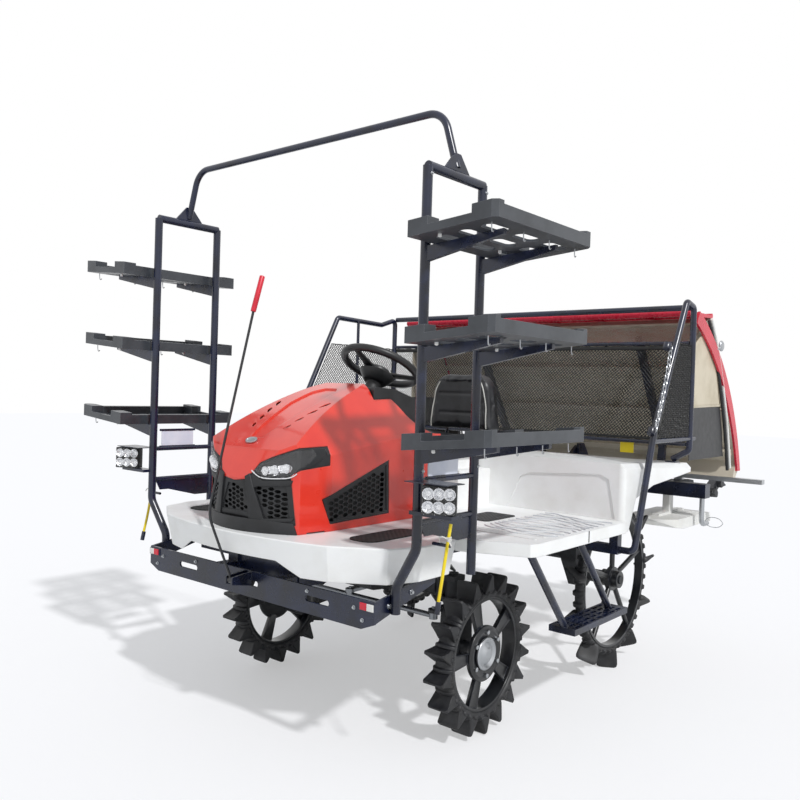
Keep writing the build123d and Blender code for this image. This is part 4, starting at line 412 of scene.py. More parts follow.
def grained_abs(name, light, dark, rough=(0.45, 0.62), grain=1.6):
    # injection-moulded ABS with a spark-eroded grain: matt, with a soft sheen that the
    # grain breaks up; the grain is drawn coarser than the real 0.3 mm so that it shows
    made, tree, shader, place = blank(name)
    cells = node(tree, "TexVoronoi", {"Vector": place, "Scale": 1000 / grain})
    wear = node(tree, "TexNoise", {"Vector": place, "Scale": 14.0, "Detail": 5.0})
    skin(shader, mottled(tree, place, light, dark, 90), wear, rough, cells, (0.2, 0.35),
         {"IOR": 1.53})
    # the grey line along the edges is partly wear and partly a painted highlight
    edge_wear_and_highlight(shader, 1.6, "55575C", 0.5)
    return made


def rotomoulded_white(name, light="F3F4F4", dark="E8E8E6"):
    # rotationally moulded polyethylene: off-white, waxy and faintly uneven, with fine
    # specks of dried mud
    made, tree, shader, place = blank(name)
    ripple = node(tree, "TexNoise", {"Vector": place, "Scale": 60.0, "Detail": 2.0})
    speck = node(tree, "TexNoise", {"Vector": place, "Scale": 420.0, "Detail": 3.0})
    marks = mottled(tree, place, light, dark, 160, 0.45, 0.75, 8.0)
    skin(shader, tinted(tree, marks, "B9B6AB", speck, 0.0, 0.10), ripple, (0.32, 0.46), ripple,
         (0.5, 0.10),
         {"IOR": 1.51, "Subsurface Weight": 0.03, "Subsurface Radius": (0.004, 0.004, 0.003)})
    # the brighter line along the edges is partly wear and partly a painted highlight
    edge_wear_and_highlight(shader, 5.0, "FBFBF9", 0.6)
    return made


def powder_coat(name, light, dark, rough, rubbed_and_highlit="4A5263"):
    # oven-baked powder coat on steel tube: a dark, smooth film with a fine ripple that
    # softens the highlights along a tube
    made, tree, shader, place = blank(name)
    film = node(tree, "TexNoise", {"Vector": place, "Scale": 520.0, "Detail": 2.0})
    rub = node(tree, "TexNoise", {"Vector": place, "Scale": 22.0, "Detail": 4.0})
    skin(shader, mottled(tree, place, light, dark, 120), rub, rough, film, (0.15, 0.18),
         {"Coat Weight": 0.25, "Coat Roughness": 0.2, "IOR": 1.52})
    # the lighter line along the edges is partly rubbed wear and partly a painted highlight
    edge_wear_and_highlight(shader, 2.2, rubbed_and_highlit, 0.55)
    return made


def painted_casting():
    # sand-cast iron under a thin black-grey paint: the sand's grit shows through as a
    # rough, blotchy skin with dull highlights
    made, tree, shader, place = blank("painted_sand_casting")
    grit = node(tree, "TexNoise", {"Vector": place, "Scale": 300.0, "Detail": 5.0})
    skin(shader, mottled(tree, place, "26282C", "17181B", 40), grit, (0.45, 0.75), grit,
         (0.6, 0.5), {})
    return made


def rubber(name, light="1C1D21", dark="0F1014", dust=0.2):
    # vulcanised tyre rubber: near-black and dull, greyed by dried mud dust in patches
    made, tree, shader, place = blank(name)
    pores = node(tree, "TexNoise", {"Vector": place, "Scale": 700.0, "Detail": 3.0})
    mud = node(tree, "TexNoise", {"Vector": place, "Scale": 18.0, "Detail": 8.0,
                                  "Roughness": 0.65})
    clean = mottled(tree, place, light, dark, 60)
    skin(shader, tinted(tree, clean, "6E6A62", mud, -dust, dust), mud, (0.36, 0.72), pores,
         (0.3, 0.3), {"IOR": 1.52})
    return made


def bright_steel(name, tone="B4B7BB", rough=(0.22, 0.40), grain=(1.0, 1.0, 1.0)):
    # zinc-plated or drawn steel: a cool grey metal whose fine drawing lines spread the
    # highlight
    made, tree, shader, place = blank(name)
    drawn = node(tree, "Mapping", {"Vector": place, "Scale": grain})
    lines = node(tree, "TexNoise", {"Vector": drawn, "Scale": 350.0, "Detail": 3.0})
    skin(shader, linear(tone), lines, rough, lines, (0.1, 0.25), {"Metallic": 1.0})
    return made


def vinyl():
    # calendered PVC seat cover: black, with a pebbled leather grain and a low sheen
    made, tree, shader, place = blank("seat_cover_vinyl")
    pebble = node(tree, "TexVoronoi", {"Vector": place, "Scale": 420.0}, feature="SMOOTH_F1")
    crease = node(tree, "TexNoise", {"Vector": place, "Scale": 34.0, "Detail": 5.0})
    skin(shader, mottled(tree, place, "1C1D21", "121316", 70), crease, (0.34, 0.50), pebble,
         (0.35, 0.35), {"IOR": 1.52})
    return made


def gloss_plastic(name, light, dark, rough=0.25):
    # gloss-moulded plastic or gel coat: an even, saturated colour with a clean highlight
    made, tree, shader, place = blank(name)
    flow = node(tree, "TexNoise", {"Vector": place, "Scale": 45.0, "Detail": 2.0})
    skin(shader, mottled(tree, place, light, dark, 150), flow, (rough, rough + 0.14), flow,
         (0.3, 0.08), {"IOR": 1.5})
    return made


def clear_plastic(name, alpha, tone="FFFFFF", rough=0.05, ior=1.49):
    # clear moulded acrylic or film: what lies behind it shows, with a bright skin
    made, tree, shader, place = blank(name)
    flow = node(tree, "TexNoise", {"Vector": place, "Scale": 24.0, "Detail": 3.0})
    skin(shader, linear(tone), flow, (rough, rough + 0.08), flow, (0.8, 0.25),
         {"Transmission Weight": 0.92, "IOR": ior, "Alpha": alpha})
    return made


def reflector():
    # vacuum-aluminised bowl with moulded facets: mirror-bright, broken into small patches
    made, tree, shader, place = blank("aluminised_reflector")
    facets = node(tree, "TexVoronoi", {"Vector": place, "Scale": 95.0})
    skin(shader, linear("E6E7EA"), facets, (0.12, 0.28), facets, (4.0, 0.8), {"Metallic": 1.0})
    return made


def ribbed_rubber():
    # moulded rubber mat with fine ribs 12 mm apart: black, matt, catching light on each rib
    made, tree, shader, place = blank("ribbed_mat_rubber")
    ribs = node(tree, "TexWave", {"Vector": place, "Scale": 1000 / 12 / TURN * 2,
                                  "Distortion": 0.0}, bands_direction="DIAGONAL").outputs["Fac"]
    skin(shader, mottled(tree, place, "1F2023", "131416", 30), ribs, (0.7, 0.7), ribs,
         (1.5, 0.8), {})
    return made


# the last colour of a powder coat is its edge tone: partly wear, partly a painted highlight along
# the edges
NAVY = powder_coat("navy_powder_coat", "121B36", "0A0F21", (0.22, 0.34))
SHELF = powder_coat("grey_pressed_sheet_coat", "393D43", "2A2E34", (0.36, 0.5), "9498A0")
RIM = powder_coat("black_rim_coat", "14161B", "0C0D11", (0.25, 0.4))
GREY = powder_coat("engine_grey_coat", "2B2D31", "1F2124", (0.4, 0.6))
RED = bonnet_enamel()
BLACK = grained_abs("black_grained_abs", "1E1F22", "141517")
GRIP = grained_abs("soft_black_grip_foam", "17181B", "101113", (0.35, 0.5), 2.2)
ROTOR = grained_abs("black_cast_rotor", "15181F", "0E1016", (0.4, 0.6), 3.0)
WHITE = rotomoulded_white("offwhite_polyethylene")
FLOAT_WHITE = rotomoulded_white("float_polyethylene", "E9E9E6", "D6D5CF")
# the swirl ribs are drawn a darker blue-grey than the deck round them
BLUE_GREY_RIB = rotomoulded_white("trodden_rib_polyethylene", "D6D9DF", "BBC0CA")
CREAM = rotomoulded_white("cream_polyethylene", "CFC6B4", "BBB19D")
CAST = painted_casting()
TYRE = rubber("tyre_rubber")
NET = rubber("net_cord_polyethylene", "0F1012", "08090A", 0.04)
MAT = ribbed_rubber()
VINYL = vinyl()
ZINC = bright_steel("zinc_plated_steel")
DRAWN = bright_steel("drawn_steel", "85888D", (0.28, 0.45))
CHROME = bright_steel("hard_chromed_rod", "C9CBCF", (0.06, 0.14))
EXTRUDED = bright_steel("extruded_aluminium", "C3C5C8", (0.28, 0.42), (0.02, 1.0, 1.0))
YELLOW = gloss_plastic("yellow_pvc_rod", "EBD21E", "DCC013")
CRIMSON = gloss_plastic("crimson_gel_coat", "D01F3C", "C41A36", 0.2)
RED_GRIP = gloss_plastic("red_dipped_pvc", "D3263A", "C01D30")
# a light grey that stands for the highlight along the seat back's rounded edges: a painted
# highlight
SEAT_HIGHLIGHT = gloss_plastic("grey_piping_vinyl", "C9C8C2", "B4B2AA", 0.35)
BEIGE = gloss_plastic("beige_abs_panel", "CDC3AE", "BDB29B", 0.4)
TAG = gloss_plastic("blank_enamelled_tag", "E4E8F4", "D5DBEC", 0.3)
LENS = clear_plastic("clear_lens_acrylic", 0.2)
FILM = clear_plastic("clear_pvc_film", 0.55, "F4F2F0", 0.12, 1.3)
REFLECTOR = reflector()

NODE_FINISHES = {
    RED: ("bonnet",),
    BLACK: ("front_mask", "dash_panel", "steering_column", "side_grilles"),
    GRIP: ("steering_wheel",),
    REFLECTOR: ("headlamps", "work_lamps"),
    WHITE: ("front_deck", "side_decks", "rear_cover", "seat_pedestal"),
    FLOAT_WHITE: ("floats",),
    VINYL: ("seat_cushion", "seat_back"),
    NAVY: ("rack_left", "rack_right", "top_hoop", "rear_handrails", "main_frame", "side_steps",
           "front_bumper", "lower_link", "upper_links", "planter_frame", "lift_barrel"),
    SHELF: ("shelves_left", "shelves_right"),
    GREY: ("engine_block",),
    CAST: ("gearbox", "front_axle", "rear_axle", "knuckle_left", "knuckle_right",
           "planting_cases"),
    CHROME: ("lift_rod",),
    YELLOW: ("sight_rods",),
    NET: ("safety_nets",),
    DRAWN: ("pitman_arm", "tie_rod"),
    RIM: ("marker_pole", "front_rim_left", "front_rim_right", "rear_rim_left", "rear_rim_right"),
    TYRE: ("front_tyre_left", "front_tyre_right", "rear_tyre_left", "rear_tyre_right"),
    EXTRUDED: ("guide_rail",),
    CRIMSON: ("table_cheeks", "table_roof"),
    CREAM: ("seedling_table",),
    ROTOR: ("planting_rotor_1", "planting_rotor_2", "planting_rotor_3"),
    MAT: ("deck_mats",),
}
for finish, names in NODE_FINISHES.items():
    for name in names:
        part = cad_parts[name]
        part.data.materials.clear()
        part.data.materials.append(finish)


# ------------------------------------------------------------------ wheels
def from_hub(hub, place):
    """How far along and up a place is from a wheel's hub, and straight from it."""
    y, z = place.y - AXLE_Y - hub[1], place.z - hub[2]
    return y, z, math.hypot(y, z)


def tyre_ring(hub, radius, thick, wide, count, cleat, cleat_wide):
    """A cage wheel's ring of rubber: flattened, with low cleats drawn out of its crown.

    A cleat is two insets, each a thickness and a depth in millimetres.
    """
    centre = {"center_override": metres(*hub)}
    piece = ring("ring", radius, thick, (count * 6, 12), location=metres(*hub),
                 rotation=(0, math.pi / 2, 0))
    stretched(piece, (wide / 2 / thick, 1, 1), hub)

    def crown(place, normal):
        y, z, reach = from_hub(hub, place)
        turn = (math.atan2(z, y) / TURN * count) % 1.0
        outward = (normal.y * y + normal.z * z) / reach
        return reach > radius and outward > 0.25 and turn < 0.5
    stepped(piece, crown, *cleat, use_even_offset=False)
    # the cleats keep one width up to their tips, which are drawn a degree round
    foot = radius + thick + cleat[0][1] * 0.45
    tip = radius + thick + cleat[0][1] + cleat[1][1] * 0.45

    def beyond(low, high=math.inf):
        return lambda place, normal: low < from_hub(hub, place)[2] < high
    for here in (beyond(foot, tip), beyond(tip)):
        half = max(abs(p.co.x * 1000 - hub[0]) for p in piece.data.vertices
                   if here(p.co * 1000, None))
        reshaped(piece, "VERT", here, (cleat_wide / 2 / half, 1, 1), **centre)
    pick(piece, "VERT", lambda place, normal: beyond(tip)(place, normal) and place.x > hub[0])
    bpy.ops.transform.rotate(value=math.radians(1), orient_axis="X", **centre)
    close(piece)
    modify(piece, "SUBSURF", levels=1, render_levels=1)
    return smooth(piece, 60)


def lug(low, high, tip, foot, lean, cuts):
    """One rubber lug standing up from the ring: tapered, leaning and hollowed on both faces."""
    scoop = 7
    middle, span = (low[0] + high[0]) / 2, (high[0] - low[0]) * 0.32
    piece = block("lug", low, high)
    reshaped(piece, "FACE", looks(Z), (*tip, 1.0), (0, lean, 0))
    reshaped(piece, "FACE", looks(Z, -0.9), (*foot, 1.0))
    worked(piece, bpy.ops.mesh.subdivide, number_cuts=cuts)
    # the lug's middle is hollowed, so that its rim stands round a scoop
    for side in (-1, 1):
        reshaped(piece, "VERT", lambda place, normal: normal.y * side > 0.5 and
                 abs(place.x - middle) < span and low[2] + scoop < place.z < high[2] - 5,
                 shift=(0, -side * scoop, 0))
    modify(piece, "SUBSURF", levels=1, render_levels=1)
    return smooth(piece, 50)


def set_round(piece, hub, count, lead=0.0, first=Matrix.Identity(4)):
    """Copies of a piece set evenly round a hub, in place of the piece itself."""
    made = [copy_of(piece, piece.name, about(hub, TURN * (number + lead) / count, "X") @ first)
            for number in range(count)]
    bpy.data.objects.remove(piece)
    return made


def on_both_wheels(piece, wheel, finish, stands_for=None):
    """Rides a left wheel's piece and its mirrored copy, and says which solids they replace."""
    other = copy_of(piece, piece.name.replace("left", "right"), MIRROR)
    for one, side in ((piece, "left"), (other, "right")):
        ready(one, f"{wheel}_wheel_{side}", finish)
        if stands_for:
            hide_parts(f"{stands_for}_{side}")


def front_wheels():
    """The front wheels: a lugged tyre, a spoked disc rim and a bright hub flange."""
    height = FRONT_HUB[2]

    def coaxial(title, near, far, radius, sides, up=0.0, round_by=0.0):
        y, z = up * math.sin(round_by), height + up * math.cos(round_by)
        return rod(title, (near, y, z), (far, y, z), radius, sides)
    tooth = lug((557, -37, height + 244), (653, 37, height + 321), (1.0, 0.14), (0.88, 1.0), 6, 4)
    band = tyre_ring(FRONT_HUB, 240.0, 22.0, 86.0, 36, ((2, 5), (3, 4)), 60.0)
    cover = joined([band] + set_round(tooth, FRONT_HUB, 18), "front_paddle_tyre_left")
    disc = coaxial("disc", 616, 632, 112, 48)
    stepped(disc, looks(X), (18, 6), (20, -8))
    rounded(disc, 2.0)
    ribs = []
    for number in range(5):
        rib = block("rib", (606, -19, height + 92), (628, 19, height + 226))
        reshaped(rib, "FACE", looks(Z), (1.0, 1.7, 1.0))
        stepped(rib, looks(X), (7, -7))
        rounded(rib, 3.0)
        rib.data.transform(about(FRONT_HUB, TURN * number / 5 + 0.3, "X"))
        ribs.append(rib)
    hoop = coaxial("hoop", 572, 638, 228, 72)
    pick(hoop, "FACE", both_ways(X))
    bpy.ops.mesh.inset(thickness=0.013)
    bpy.ops.mesh.bridge_edge_loops(use_merge=False)
    close(hoop)
    rounded(heal(hoop), 3.0, 3)
    rim = smooth(joined([hoop, disc] + ribs, "front_disc_rim_left"))
    cup = coaxial("cup", 632, 640, 66, 40)
    stepped(cup, looks(X), (10, 6), (12, -12), (12, 10), (12, 6))
    rounded(cup, 1.5, 2, 25)
    nuts = [rounded(coaxial("nut", 630, 646, 10, 6, 88, TURN * number / 6), 1.5)
            for number in range(6)]
    flange = smooth(joined([cup] + nuts, "front_hub_flange_left"))
    on_both_wheels(cover, "front", TYRE, "front_tyre")
    on_both_wheels(rim, "front", RIM, "front_rim")
    on_both_wheels(flange, "front", ZINC)


def rear_wheels():
    """The rear wheels' ring of rubber and its broad scooped paddles, set slantwise."""
    x, y, height = REAR_HUB
    band = tyre_ring(REAR_HUB, 352.0, 17.0, 46.0, 40, ((2, 5), (3, 5)), 40.0)
    paddle = lug((x - 60, y - 12, height + 346), (x + 60, y + 12, height + 450), (0.92, 0.6),
                 (0.72, 1.5), 0, 2)
    slant = about((x, y, 0), math.radians(-34), "Z")
    paddles = set_round(paddle, REAR_HUB, 11, 0.4, slant)
    cover = joined([band] + paddles, "rear_paddle_tyre_left")
    on_both_wheels(cover, "rear", TYRE, "rear_tyre")


# ------------------------------------------------------------------ nets
def net(name, corners):
    """A knotted net over a flat outline given as places in millimetres, in order."""
    # the cords are drawn at twice the real 3 mm, so that the net shows
    spacing, cord = 0.0145, 0.0062
    spots = [metres(*c) for c in corners]
    middle = sum(spots, Vector()) / len(spots)
    reach = max((s - middle).length for s in spots) * 2
    across = (spots[1] - spots[0]).normalized()
    out = across.cross(spots[-1] - spots[0]).normalized()
    cells = int(reach / spacing)
    piece = started(name, bpy.ops.mesh.primitive_grid_add, x_subdivisions=cells,
                    y_subdivisions=cells, size=reach)
    lay = Matrix((across, out.cross(across), out)).transposed().to_4x4()
    piece.matrix_world = Matrix.Translation(middle) @ lay @ Matrix.Rotation(
        math.radians(40), 4, "Z") @ Matrix.Diagonal((1.0, 0.82, 1.0, 1.0))
    settle(piece)
    for index, spot in enumerate(spots):
        edge = spots[(index + 1) % len(spots)] - spot
        worked(piece, bpy.ops.mesh.bisect, plane_co=spot, plane_no=edge.cross(out),
               clear_outer=True)
    # the mesh is a little uneven in its plane, and less so out of it
    worked(piece, bpy.ops.transform.vertex_random, offset=0.0022, seed=3)
    for point in piece.data.vertices:
        point.co -= out * (point.co - middle).dot(out) * 0.6
    modify(piece, "WIREFRAME", thickness=cord, use_replace=True, use_even_offset=False,
           use_boundary=True)
    ready(piece, "chassis", NET)
    return piece


def nets():
    """The nets behind and beside the seat, and the back one's sewn tapes."""
    back = net("back_net", [(x, BACK_NET_Y, z) for x, z in (
        (-948, 1166), (948, 1166), (948, 1640), (-948, 1640))])
    net("left_net", [(SIDE_NET_X, y, z) for y, z in (
        (852, 1191), (1241, 1191), (1241, 1640), (1080, 1640), (1032, 1560))])
    net("right_net", [(-SIDE_NET_X, y, z) for y, z in (
        (460, 1191), (1241, 1191), (1241, 1640), (684, 1640), (482, 1254))])
    tapes = [block("tape", (-946, BACK_NET_Y - half, low), (946, BACK_NET_Y + half, high))
             for half, low, high in ((6, 1622, 1642), (5, 1163, 1177))]
    for tape in tapes:
        worked(tape, bpy.ops.mesh.bevel, offset=0.004, segments=2)
    together(tapes, "net_hem_tape", "chassis", NET)
    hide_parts("safety_nets")


# ------------------------------------------------------------------ seat
def filled(piece, most=0.010):
    """Lets a cover swell over its filling, no further than a cap in metres."""
    rest = [point.co.copy() for point in piece.data.vertices]
    take(piece)
    cloth = piece.modifiers.new("filling", "CLOTH")
    cloth.settings.quality = 4
    cloth.settings.use_pressure = True
    cloth.settings.uniform_pressure_force = 4.0
    cloth.settings.effector_weights.gravity = 0.0
    cloth.point_cache.frame_start, cloth.point_cache.frame_end = 1, 20
    for step in range(1, 21):
        bpy.context.scene.frame_set(step)
    bpy.ops.object.modifier_apply(modifier=cloth.name)
    deselect()
    bpy.context.scene.frame_set(1)
    for point, before in zip(piece.data.vertices, rest):
        move = point.co - before
        if move.length > most:
            point.co = before + move.normalized() * most


def seat_pad(name, low, high, channels, stands_for):
    """A padded seat form: rounded by hand, filled by a short cloth run, then seamed."""
    middle = [(a + b) / 2 for a, b in zip(low, high)]
    upright = high[2] - low[2] > high[1] - low[1]
    rim_axis, corner = (Y, 0.085) if upright else (Z, 0.06)
    seam_depth, seam_reach = 0.006, 0.62 * high[0]
    dish_depth, dish_reach = 0.016, 0.72 * high[0]
    piece = block(name, low, high)
    if upright:
        reshaped(piece, "FACE", looks(Z), (0.84, 0.8, 1.0))
    pick(piece, "EDGE", lambda place, run: abs(run[rim_axis]) > 0.5 * run.length and (
        not upright or place.z > middle[2]))
    bpy.ops.mesh.bevel(offset=corner, segments=6)
    close(piece)
    rounded(piece, 16.0, 3, 50)
    modify(piece, "REMESH", mode="VOXEL", voxel_size=0.0065)
    filled(piece)

    def sat_on(spot):
        return spot.y - AXLE_Y < middle[1] if upright else spot.z > middle[2]

    def sunk(point, depth):
        if upright:
            point.co.y += depth
        else:
            point.co.z -= depth
    # sewn channels: the cover is pulled in along shallow lines
    for line, half in channels:
        for point in piece.data.vertices:
            spot = point.co * 1000
            near = 1 - abs((spot.z if upright else spot.y - AXLE_Y) - line) / half
            if near > 0 and sat_on(spot) and abs(spot.x) < seam_reach:
                sunk(point, seam_depth * near * near * (3 - 2 * near))
    # the middle lies deeper than the side bolsters
    for point in piece.data.vertices:
        spot = point.co * 1000
        inside = max(0.0, 1 - abs(spot.x) / dish_reach)
        if sat_on(spot) and (not upright or spot.z < high[2] - 40):
            sunk(point, dish_depth * inside ** 0.5)
    modify(piece, "SUBSURF", levels=1, render_levels=1)
    modify(piece, "SMOOTH", factor=0.5, iterations=2)
    ready(smooth(piece, 80), "chassis", VINYL)
    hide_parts(stands_for)
    return piece


def seat():
    """The seat's two pads, a light grey strip along each front edge of the back that is a painted
    highlight, and the two bent bars that carry it.
    """
    seat_pad("seat_cushion_pad", (-216, 344, 1102), (216, 700, 1166),
             ((430.0, 14.0), (560.0, 14.0)), "seat_cushion")
    back = seat_pad("seat_back_pad", (-203, 646, 1182), (203, 748, 1476),
                    ((1270.0, 12.0), (1370.0, 12.0)), "seat_back")

    def front(x, z):
        """Where the back's cover comes to, at a place across and up."""
        return min(p.co.y for p in back.data.vertices if abs(p.co.x * 1000 - x) < 9
                   and abs(p.co.z * 1000 - z) < 9) * 1000 - AXLE_Y
    # the thin light grey strips along the back's front edges are a painted highlight of the
    # rounded cover, not real piping
    painted_highlights, bars = [], []
    for side, _ in SIDES:
        painted_highlights.append(tube("highlight_strip", [(side * x, front(side * x, z) - 0.5, z) for x, z in (
            (172, 1196), (171, 1230), (169, 1264), (166, 1298), (161, 1332), (154, 1366),
            (145, 1400), (128, 1430))], 3.0))
        bars.append(tube("bar", [(side * 150, y, z) for y, z in (
            (600, 1128), (690, 1130), (752, 1142), (764, 1200), (752, 1290), (735, 1300))], 9.0))
    together(painted_highlights, "seat_edge_painted_highlight", "chassis", SEAT_HIGHLIGHT)
    together(bars, "seat_back_bars", "chassis", NAVY)


# ------------------------------------------------------------------ steering wheel
def wheel_for_steering():
    """A padded rim on three dished spokes, with a broad cap over the hub."""
    rim = ring("rim", 172, 17.5, (72, 14))
    stepped(rim, lambda place, normal: place.length < 168 and normal.z < 0.3, (1, -1.5))
    parts = [rim]
    for number in range(3):
        spoke = started("spoke", bpy.ops.mesh.primitive_cube_add, size=1,
                        location=(0, 0.105, -0.014), scale=(0.030, 0.135, 0.010))
        reshaped(spoke, "FACE", looks(Y, -0.9), (1.7, 1.0, 1.3), (0, 0, -20))
        rounded(spoke, 4.0, 3)
        spoke.data.transform(Matrix.Rotation(math.radians(120 * number + 60), 4, "Z"))
        parts.append(spoke)
    cap = started("cap", bpy.ops.mesh.primitive_cylinder_add, vertices=40, radius=0.058,
                  depth=0.030, location=(0, 0, -0.036))
    stepped(cap, looks(Z), (10, 8), (20, -3))
    rounded(cap, 3.0, 3)
    shroud = started("shroud", bpy.ops.mesh.primitive_cylinder_add, vertices=48, radius=0.086,
                     depth=0.046, location=(0, 0, -0.062))
    reshaped(shroud, "FACE", looks(Z, -0.9), (0.6, 0.6, 1.0))
    rounded(shroud, 8.0, 3)
    wheel = smooth(joined(parts + [cap, shroud], "padded_steering_wheel"), 50)
    wheel.data.transform(Matrix.Translation(metres(*STEERING_HUB))
                         @ Matrix.Rotation(math.radians(-27), 4, "X"))
    ready(wheel, "steering_wheel", GRIP)
    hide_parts("steering_wheel")


# ------------------------------------------------------------------ lamps
def work_lamp(side, name):
    """One square work lamp: housing with fins, six bowls and a lens."""
    x, face = side * WORK_LAMP_X, WORK_LAMP_FACE
    pivot = (x, face + 28, WORK_LAMP_Z)
    # the lamps are clamped turned to the machine's left, to light the planted row
    aim = about(pivot, math.radians(30), "Z") @ Matrix.Translation(
        metres(*pivot)) @ Matrix.Scale(1.1, 4) @ Matrix.Translation(-metres(*pivot))
    body = block("body", (x - 50, face + 6, 990), (x + 50, face + 44, 1074))
    stepped(body, looks(Y, -0.9), (5, 0), (1, -12))
    rounded(body, 3.0, 2)
    fins = []
    for number in range(7):
        fin_x = x - 42 + 14 * number
        fin = block("fin", (fin_x - 1.5, face + 42, 996), (fin_x + 1.5, face + 56, 1068))
        fins.append(reshaped(fin, "FACE", looks(Y), (0.6, 1.0, 0.8)))
    bowls = []
    for column in range(3):
        for row in range(2):
            cx, cz = x - 31 + 31 * column, 1013 + 38 * row
            bowl = rod("bowl", (cx, face + 16, cz), (cx, face + 4, cz), 17.5, 20)
            bowls.append(stepped(bowl, looks(Y, -0.9), (1.5, 0), (8.5, -10)))
    lens = rounded(block("lens", (x - 47, face - 0.5, 993), (x + 47, face + 3.5, 1071)), 3.0, 3)
    for pieces, title, finish in (([body] + fins, "lamp_housing_", BLACK),
                                  (bowls, "lamp_bowls_", REFLECTOR),
                                  ([lens], "lamp_lens_", LENS)):
        together(pieces, title + name, "chassis", finish).data.transform(aim)


def headlamp(side, name):
    """One headlamp: a sharp housing with three bowls, a bright lower strip and a lens."""
    shape = [(98, 1064), (129, 1095), (180, 1118), (240, 1141), (262, 1148), (273, 1150),
             (275, 1124), (268, 1084), (240, 1044), (136, 1038)]
    cx, cz = (sum(corner[axis] for corner in shape) / len(shape) for axis in (0, 1))

    def slab(title, share, near, deep, finish):
        """A slab over a share of the lamp's outline that bends back with the nose."""
        corners = [(side * (cx + (px - cx) * share), cz + (pz - cz) * share)
                   for px, pz in shape]
        ready(nose_strip(title + name, corners, near, deep), "bonnet", finish)
    slab("headlamp_shell_", 1.0, LAMP_NEAR, 17, BLACK)
    bright = []
    for px, pz, radius in ((146, 1064, 17), (181, 1068, 20), (219, 1076, 18)):
        y = LAMP_NEAR + nose_bow(px)
        bowl = rod("bowl", (side * px, y + 8, pz), (side * px, y - 7, pz), radius, 24)
        bright.append(stepped(bowl, looks(Y, -0.9), (2, 0), (8, -7)))
    bright.append(tube("strip", [(side * px, LAMP_NEAR - 8 + nose_bow(px), pz) for px, pz in (
        (94, 1063), (112, 1048), (136, 1037), (190, 1038), (240, 1043), (254, 1060))], 2.8))
    bright.append(nose_strip("bar", [(side * px, pz) for px, pz in (
        (128, 1062), (134, 1078), (226, 1092), (236, 1084), (228, 1062), (140, 1050))],
        LAMP_NEAR - 4, 6))
    together(bright, "headlamp_bowls_" + name, "bonnet", REFLECTOR)
    slab("headlamp_lens_", 0.93, LAMP_NEAR - 10, 2, LENS)


# ------------------------------------------------------------------ nose
def nose_bow(px):
    """How far the nose falls back at a distance from the middle, in millimetres."""
    turn = 260.0                          # the corner, past which the side runs back steeply
    return 96 * (min(abs(px), turn) / turn) ** 2 + max(0.0, abs(px) - turn) * 7.2


def nose_strip(name, corners, near, deep, lean=0.0):
    """A moulded strip over the nose: corners across and up, wrapped round it."""
    piece = outline(name, [(px, 0, pz) for px, pz in corners])
    if max(c[0] for c in corners) - min(c[0] for c in corners) > 90:
        for cut in range(-260, 261, 26):
            worked(piece, bpy.ops.mesh.bisect, plane_co=metres(cut, 0, 0),
                   plane_no=(1, 0, 0))
    for point in piece.data.vertices:
        px, pz = point.co.x * 1000, point.co.z * 1000
        point.co.y = metres(0, near + nose_bow(px) - lean * (pz - 870) / 100, 0).y
    return smooth(rounded(thickened(piece, (0, deep, 0)), 1.6, 2, 50))


def nose():
    """The black skirt under the mask, its ridges, the dust gauze and a bare raised boss."""
    skirt = nose_strip("mask_skirt", [(-256, 833), (256, 833), (245, 876), (150, 884),
                                      (-150, 884), (-245, 876)], -799, 10, 1.0)
    ready(skirt, "bonnet", BLACK)
    gauze = nose_strip("gauze", [(-250, 850), (250, 850), (250, 1050), (-250, 1050)], -768, 2,
                       0.5)
    screens = [stepped(gauze, looks(Y, -0.5), (3, 1))]
    ridges = []
    for side, _ in SIDES:
        low, high = sorted((side * 258, side * 262))
        screen = block("screen", (low, -590, 866), (high, -216, 1080))
        screens.append(stepped(screen, both_ways(X), (6, -1)))
        for corners, near, deep, lean in (
                (((84, 884), (116, 872), (146, 880), (100, 1000), (84, 1052), (62, 1040),
                  (70, 990)), -797, 10, 1.0),
                (((112, 868), (240, 884), (246, 896), (142, 888)), -797, 10, 1.0),
                (((84, 1044), (98, 1052), (138, 1028), (240, 1034), (234, 1014), (120, 1006),
                  (96, 998)), -795, 9, 0.8)):
            ridges.append(nose_strip("ridge", [(side * x, z) for x, z in corners], near, deep,
                                     lean))
    ready(joined(screens, "dust_gauze"), "bonnet", NET)
    ready(joined(ridges, "mask_ridges"), "bonnet", BLACK)
    boss = started("bare_boss", bpy.ops.mesh.primitive_cylinder_add, vertices=28, radius=1,
                   depth=1)
    boss.data.transform(Matrix.Translation(metres(0, -712, 1168)) @ Matrix.Rotation(
        math.radians(32), 4, "X") @ Matrix.Diagonal((0.030, 0.018, 0.007, 1.0)))
    stepped(boss, looks(Z, 0.7), (5, 0), (1, -2))
    rounded(boss, 0.6, 2)
    ready(smooth(boss), "bonnet", ZINC)


# ------------------------------------------------------------------ small things
def bolt(place, toward, size):
    """A hexagon bolt with its washer, standing out from a face."""
    start, way = Vector(place), Vector(toward)
    washer = rod("washer", start, start + way * size * 0.25, size * 1.05, 20)
    rounded(washer, 0.4, 1)
    head = rod("head", start + way * size * 0.2, start + way * size * 0.95, size * 0.72, 6)
    stepped(head, lambda spot, normal: normal.dot(way) > 0.9, (0.8, 0.6))
    return joined([washer, head], "bolt")


